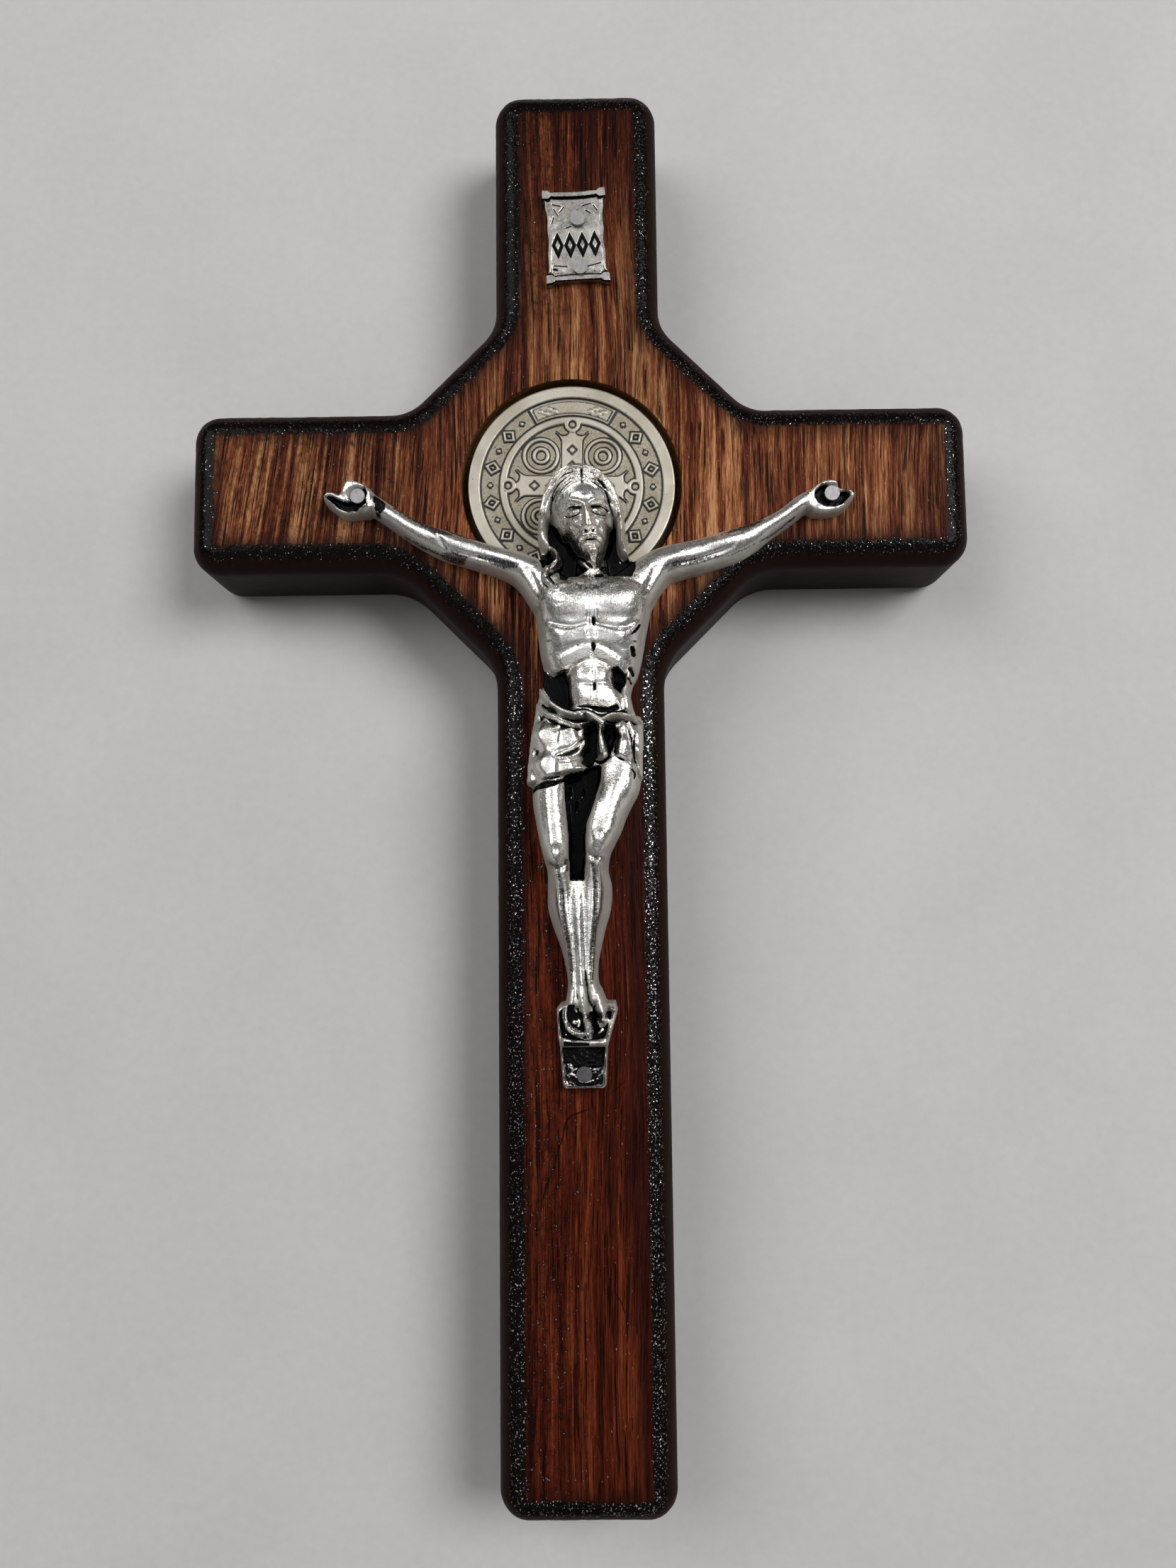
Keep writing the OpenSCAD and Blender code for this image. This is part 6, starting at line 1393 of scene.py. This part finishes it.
def castSilver(name, bright, darkerSilver, rough, soft=0.0):
    # polished silver plate: black in the hollows, a broken dark film beside them that is part patina
    # and part painted shade, and a paler, rougher grey painted on the drafted walls as painted light
    material, tree, shader = newMaterial(name)
    look = silverLook
    small = noise(tree, 2.6, 3, 0.55)
    # fine ticks run across the limbs: up and down on the arms, sideways on trunk and legs
    up = put(tree, "ShaderNodeSeparateXYZ", {0: millimetres(tree)}).outputs[1]
    sideways = noise(tree, (2.2, 6.0, 3.0), 3, 0.65, 0.6)
    upright = noise(tree, (5.5, 2.2, 3.0), 3, 0.65, 0.6)
    hatch = blend(tree, stretch(tree, up, 15, 24), sideways, upright)
    grit = noise(tree, 8.0, 2, 0.6)
    cloud = noise(tree, 0.4, 3)
    ink = vary(tree, vary(tree, attribute(tree, "patinaAndShade"), small, 0.55), hatch, 0.45)
    ink = stretch(tree, ink, 0.44, 0.62)
    filmAndShadeMask = vary(tree, vary(tree, attribute(tree, "filmAndShade"), hatch, 2.0), small, 0.9)
    filmAndShadeMask = stretch(tree, filmAndShadeMask, 0.40, 1.05)
    bare = minus(tree, 1.0, calc(tree, "MAXIMUM", ink, filmAndShadeMask))
    draftShare = times(tree, attribute(tree, "draft"), bare)
    tone = blendColour(tree, stretch(tree, cloud, 0.35, 0.65), fromPaint(*bright), fromPaint(*darkerSilver))
    specks = plus(tree, times(tree, grit, 0.4), times(tree, hatch, 0.6))
    smoke = times(tree, stretch(tree, specks, 0.49, 0.58), stretch(tree, cloud, 0.36, 0.62, 0.22, 0.75))
    tone = tint(tree, smoke, tone, look["smoke"])
    # the dark film, part patina and part painted shade
    tone = tint(tree, times(tree, filmAndShadeMask, look["filmAndShadeShare"]), tone, look["filmAndShade"])
    # painted light: the drafted walls are painted a paler grey
    tone = tint(tree, times(tree, draftShare, look["draftShare"]), tone, look["draft"])
    tone = tint(tree, ink, tone, look["ink"])
    metal = calc(tree, "MULTIPLY_ADD", draftShare, -look["draftDull"], 1.0)
    metal = times(tree, minus(tree, 1.0, ink), metal)
    roughness = stretch(tree, small, 0.3, 0.7, rough - 0.05, rough + 0.06, False)
    roughness = calc(tree, "MULTIPLY_ADD", draftShare, 0.28, roughness)
    roughness = calc(tree, "MULTIPLY_ADD", filmAndShadeMask, 0.10, roughness)
    for value, socket in ((tone, "Base Color"), (metal, "Metallic"),
                          (blend(tree, ink, roughness, look["inkRough"]), "Roughness")):
        tree.links.new(value, shader.inputs[socket])
    shader.inputs["Specular IOR Level"].default_value = look["shine"]
    height = plus(tree, times(tree, small, 0.045), times(tree, hatch, 0.030))
    height = plus(tree, height, times(tree, grit, 0.006))
    height = plus(tree, height, times(tree, noise(tree, 0.8), 0.13))
    bumped(tree, shader, height, 1.0 - soft)
    return material


pewterLook = dict(light=(164, 159, 148), shade=(146, 140, 126), ground=(104, 96, 72), ink=(24, 22, 18))


def agedPewter():
    # warm grey metal, a sandy ground, black drawn along every raised form
    material, tree, shader = newMaterial("agedPewter")
    ground = attribute(tree, "ground")
    sand = noise(tree, 4.5, 4, 0.7)
    cloud = stretch(tree, noise(tree, 0.25, 3), 0.3, 0.7)
    tone = tint(tree, cloud, fromPaint(*pewterLook["light"]), pewterLook["shade"])
    groundDark = times(tree, ground, stretch(tree, sand, 0.35, 0.65, 0.25, 0.70))
    tone = tint(tree, groundDark, tone, pewterLook["ground"])
    speck = stretch(tree, noise(tree, 2.2), 0.70, 0.74)
    line = stretch(tree, vary(tree, attribute(tree, "lines"), sand, 0.5), 0.30, 0.62)
    ink = calc(tree, "MAXIMUM", line, times(tree, speck, 0.8))
    tone = tint(tree, ink, tone, pewterLook["ink"])
    rough = calc(tree, "MULTIPLY_ADD", ground, 0.12, stretch(tree, sand, 0.3, 0.7, 0.36, 0.50, False))
    for value, socket in ((tone, "Base Color"), (stretch(tree, ink, 0.0, 1.0, 0.92, 0.2, False), "Metallic"),
                          (rough, "Roughness")):
        tree.links.new(value, shader.inputs[socket])
    bumped(tree, shader, times(tree, sand, 0.05), 0.7)
    return material


def dullSteel(name, low, high):
    # flat grey metal with faint marks
    material, tree, shader = newMaterial(name)
    scratch = noise(tree, (7.0, 1.2, 3.0), 3, 0.6)
    spots = paintRamp(tree, noise(tree, 1.6, 3, 0.6), [(0.3, low), (0.7, high)])
    tree.links.new(spots, shader.inputs["Base Color"])
    shader.inputs["Metallic"].default_value = 0.6
    tree.links.new(stretch(tree, scratch, 0.3, 0.7, 0.38, 0.58, False), shader.inputs["Roughness"])
    bumped(tree, shader, times(tree, scratch, 0.02), 0.6)
    return material


def clearAdhesive():
    # a cloudy amber film
    material, tree, shader = newMaterial("clearAdhesive")
    cloud = paintRamp(tree, noise(tree, 0.6, 3), [(0.3, (176, 150, 96)), (0.7, (206, 184, 132))])
    tree.links.new(cloud, shader.inputs["Base Color"])
    shader.inputs["Roughness"].default_value = 0.35
    return material


def palePaper(name):
    # near-white, matt and a little cloudy
    material, tree, shader = newMaterial(name)
    share = plus(tree, times(tree, noise(tree, 0.03, 4, 0.6), 0.6), times(tree, noise(tree, 0.7, 3, 0.6), 0.4))
    cloud = paintRamp(tree, share, [(0.35, (186, 184, 182)), (0.65, (194, 192, 190))])
    tree.links.new(cloud, shader.inputs["Base Color"])
    shader.inputs["Roughness"].default_value = 0.85
    shader.inputs["Specular IOR Level"].default_value = 0.1
    return material


wood = stainedWood()
silver = castSilver("castSilver", (238, 236, 232), (218, 214, 208), 0.22)
# the scroll plate's silver: rougher, its own duller finish, and darker, which is painted shade
darkerSilver = castSilver("shadedSilver", (176, 172, 167), (154, 150, 145), 0.34, 0.5)
pewter = agedPewter()
steel = dullSteel("dullSteel", (128, 126, 126), (154, 152, 152))
darkSteel = dullSteel("darkSteel", (62, 62, 65), (84, 84, 88))
adhesive = clearAdhesive()


def dress(piece, material, node=None):
    # the piece and the CAD node that it replaces get the same material
    for each in [piece] + ([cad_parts[node]] if node else []):
        each.data.materials.clear()
        each.data.materials.append(material)
    if node:
        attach(piece, "root")
        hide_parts(node)


dress(crossBoard, wood, "cross_board")
dress(castFigure, silver, "corpus")
dress(roundMedal, pewter, "medal")
dress(scrollPlate, darkerSilver, "scroll_plate")
for name in ("scroll_pins", "hand_pins", "foot_pin"):
    dress(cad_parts[name], darkSteel if name == "foot_pin" else steel)
dress(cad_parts["medal_adhesive"], adhesive)
print("materials done")


# metres and watts
studio = dict(floor=3.0, worldLight=0.19, wallSeen=0.50, wallGlow=0.16, ceilingGlow=0.70,
              keyPower=9.8, keySize=0.6, keyPlace=(0.62, 0.30, 0.95),
              fillPower=5.0, fillSize=0.8, fillPlace=(-0.62, 0.42, 0.85))


def makeFloor():
    # a square at z = 0, under the back of the board
    h = studio["floor"] / 2 / mm
    points = np.array([(-h, -h, 0.0), (h, -h, 0.0), (h, h, 0.0), (-h, h, 0.0)])
    floor = makePiece("paperFloor", points, np.array([[0, 1, 2, 3]]))
    floor.data.materials.append(palePaper("palePaper"))


def areaLight(name, place, size, power):
    # a round lamp that looks at the middle of the board
    lamp = bpy.data.lights.new(name, "AREA")
    lamp.shape = "DISK"
    lamp.size = size
    lamp.energy = power
    holder = bpy.data.objects.new(name, lamp)
    holder.location = place
    holder.rotation_euler = (-Vector(place)).to_track_quat("-Z", "Y").to_euler()
    bpy.context.scene.collection.objects.link(holder)


makeFloor()
areaLight("keyLight", studio["keyPlace"], studio["keySize"], studio["keyPower"])
areaLight("fillLight", studio["fillPlace"], studio["fillSize"], studio["fillPower"])
# the room lights the object evenly; the camera, metal and glass see its pale walls and ceiling
world = bpy.data.worlds.new("softRoom")
world.use_nodes = True
tree = world.node_tree
ray = put(tree, "ShaderNodeLightPath").outputs
seen = calc(tree, "MAXIMUM", calc(tree, "MAXIMUM", ray["Is Camera Ray"], ray["Is Glossy Ray"]),
            ray["Is Transmission Ray"])
aim = put(tree, "ShaderNodeSeparateXYZ", {0: put(tree, "ShaderNodeTexCoord").outputs["Generated"]}).outputs[2]
wall = blend(tree, ray["Is Camera Ray"], studio["wallGlow"], studio["wallSeen"])
pale = stretch(tree, aim, 0.35, 0.97, wall, studio["ceilingGlow"])
tree.links.new(blend(tree, seen, studio["worldLight"], pale), tree.nodes["Background"].inputs["Strength"])
tree.nodes["Background"].inputs["Color"].default_value = (1, 1, 1, 1)
bpy.context.scene.world = world

# millimetres and degrees; focal length and height of the frame in pixels
camera = dict(place=(2.335, -18.78, 185.14), turn=(5.57, 0.55, -0.62), focal=1700.0, frameHeight=2212.0,
              sensor=36.0)
lens = bpy.data.cameras.new("phoneView")
lens.sensor_fit = "AUTO"
lens.sensor_width = camera["sensor"]
lens.lens = camera["focal"] * camera["sensor"] / camera["frameHeight"]
lens.clip_start = 0.01
view = bpy.data.objects.new("phoneView", lens)
view.location = [v * mm for v in camera["place"]]
view.rotation_euler = [math.radians(v) for v in camera["turn"]]
bpy.context.scene.collection.objects.link(view)
bpy.context.scene.camera = view
bpy.context.scene.view_settings.view_transform = "Standard"
print("stage done")

bpy.context.view_layer.update()
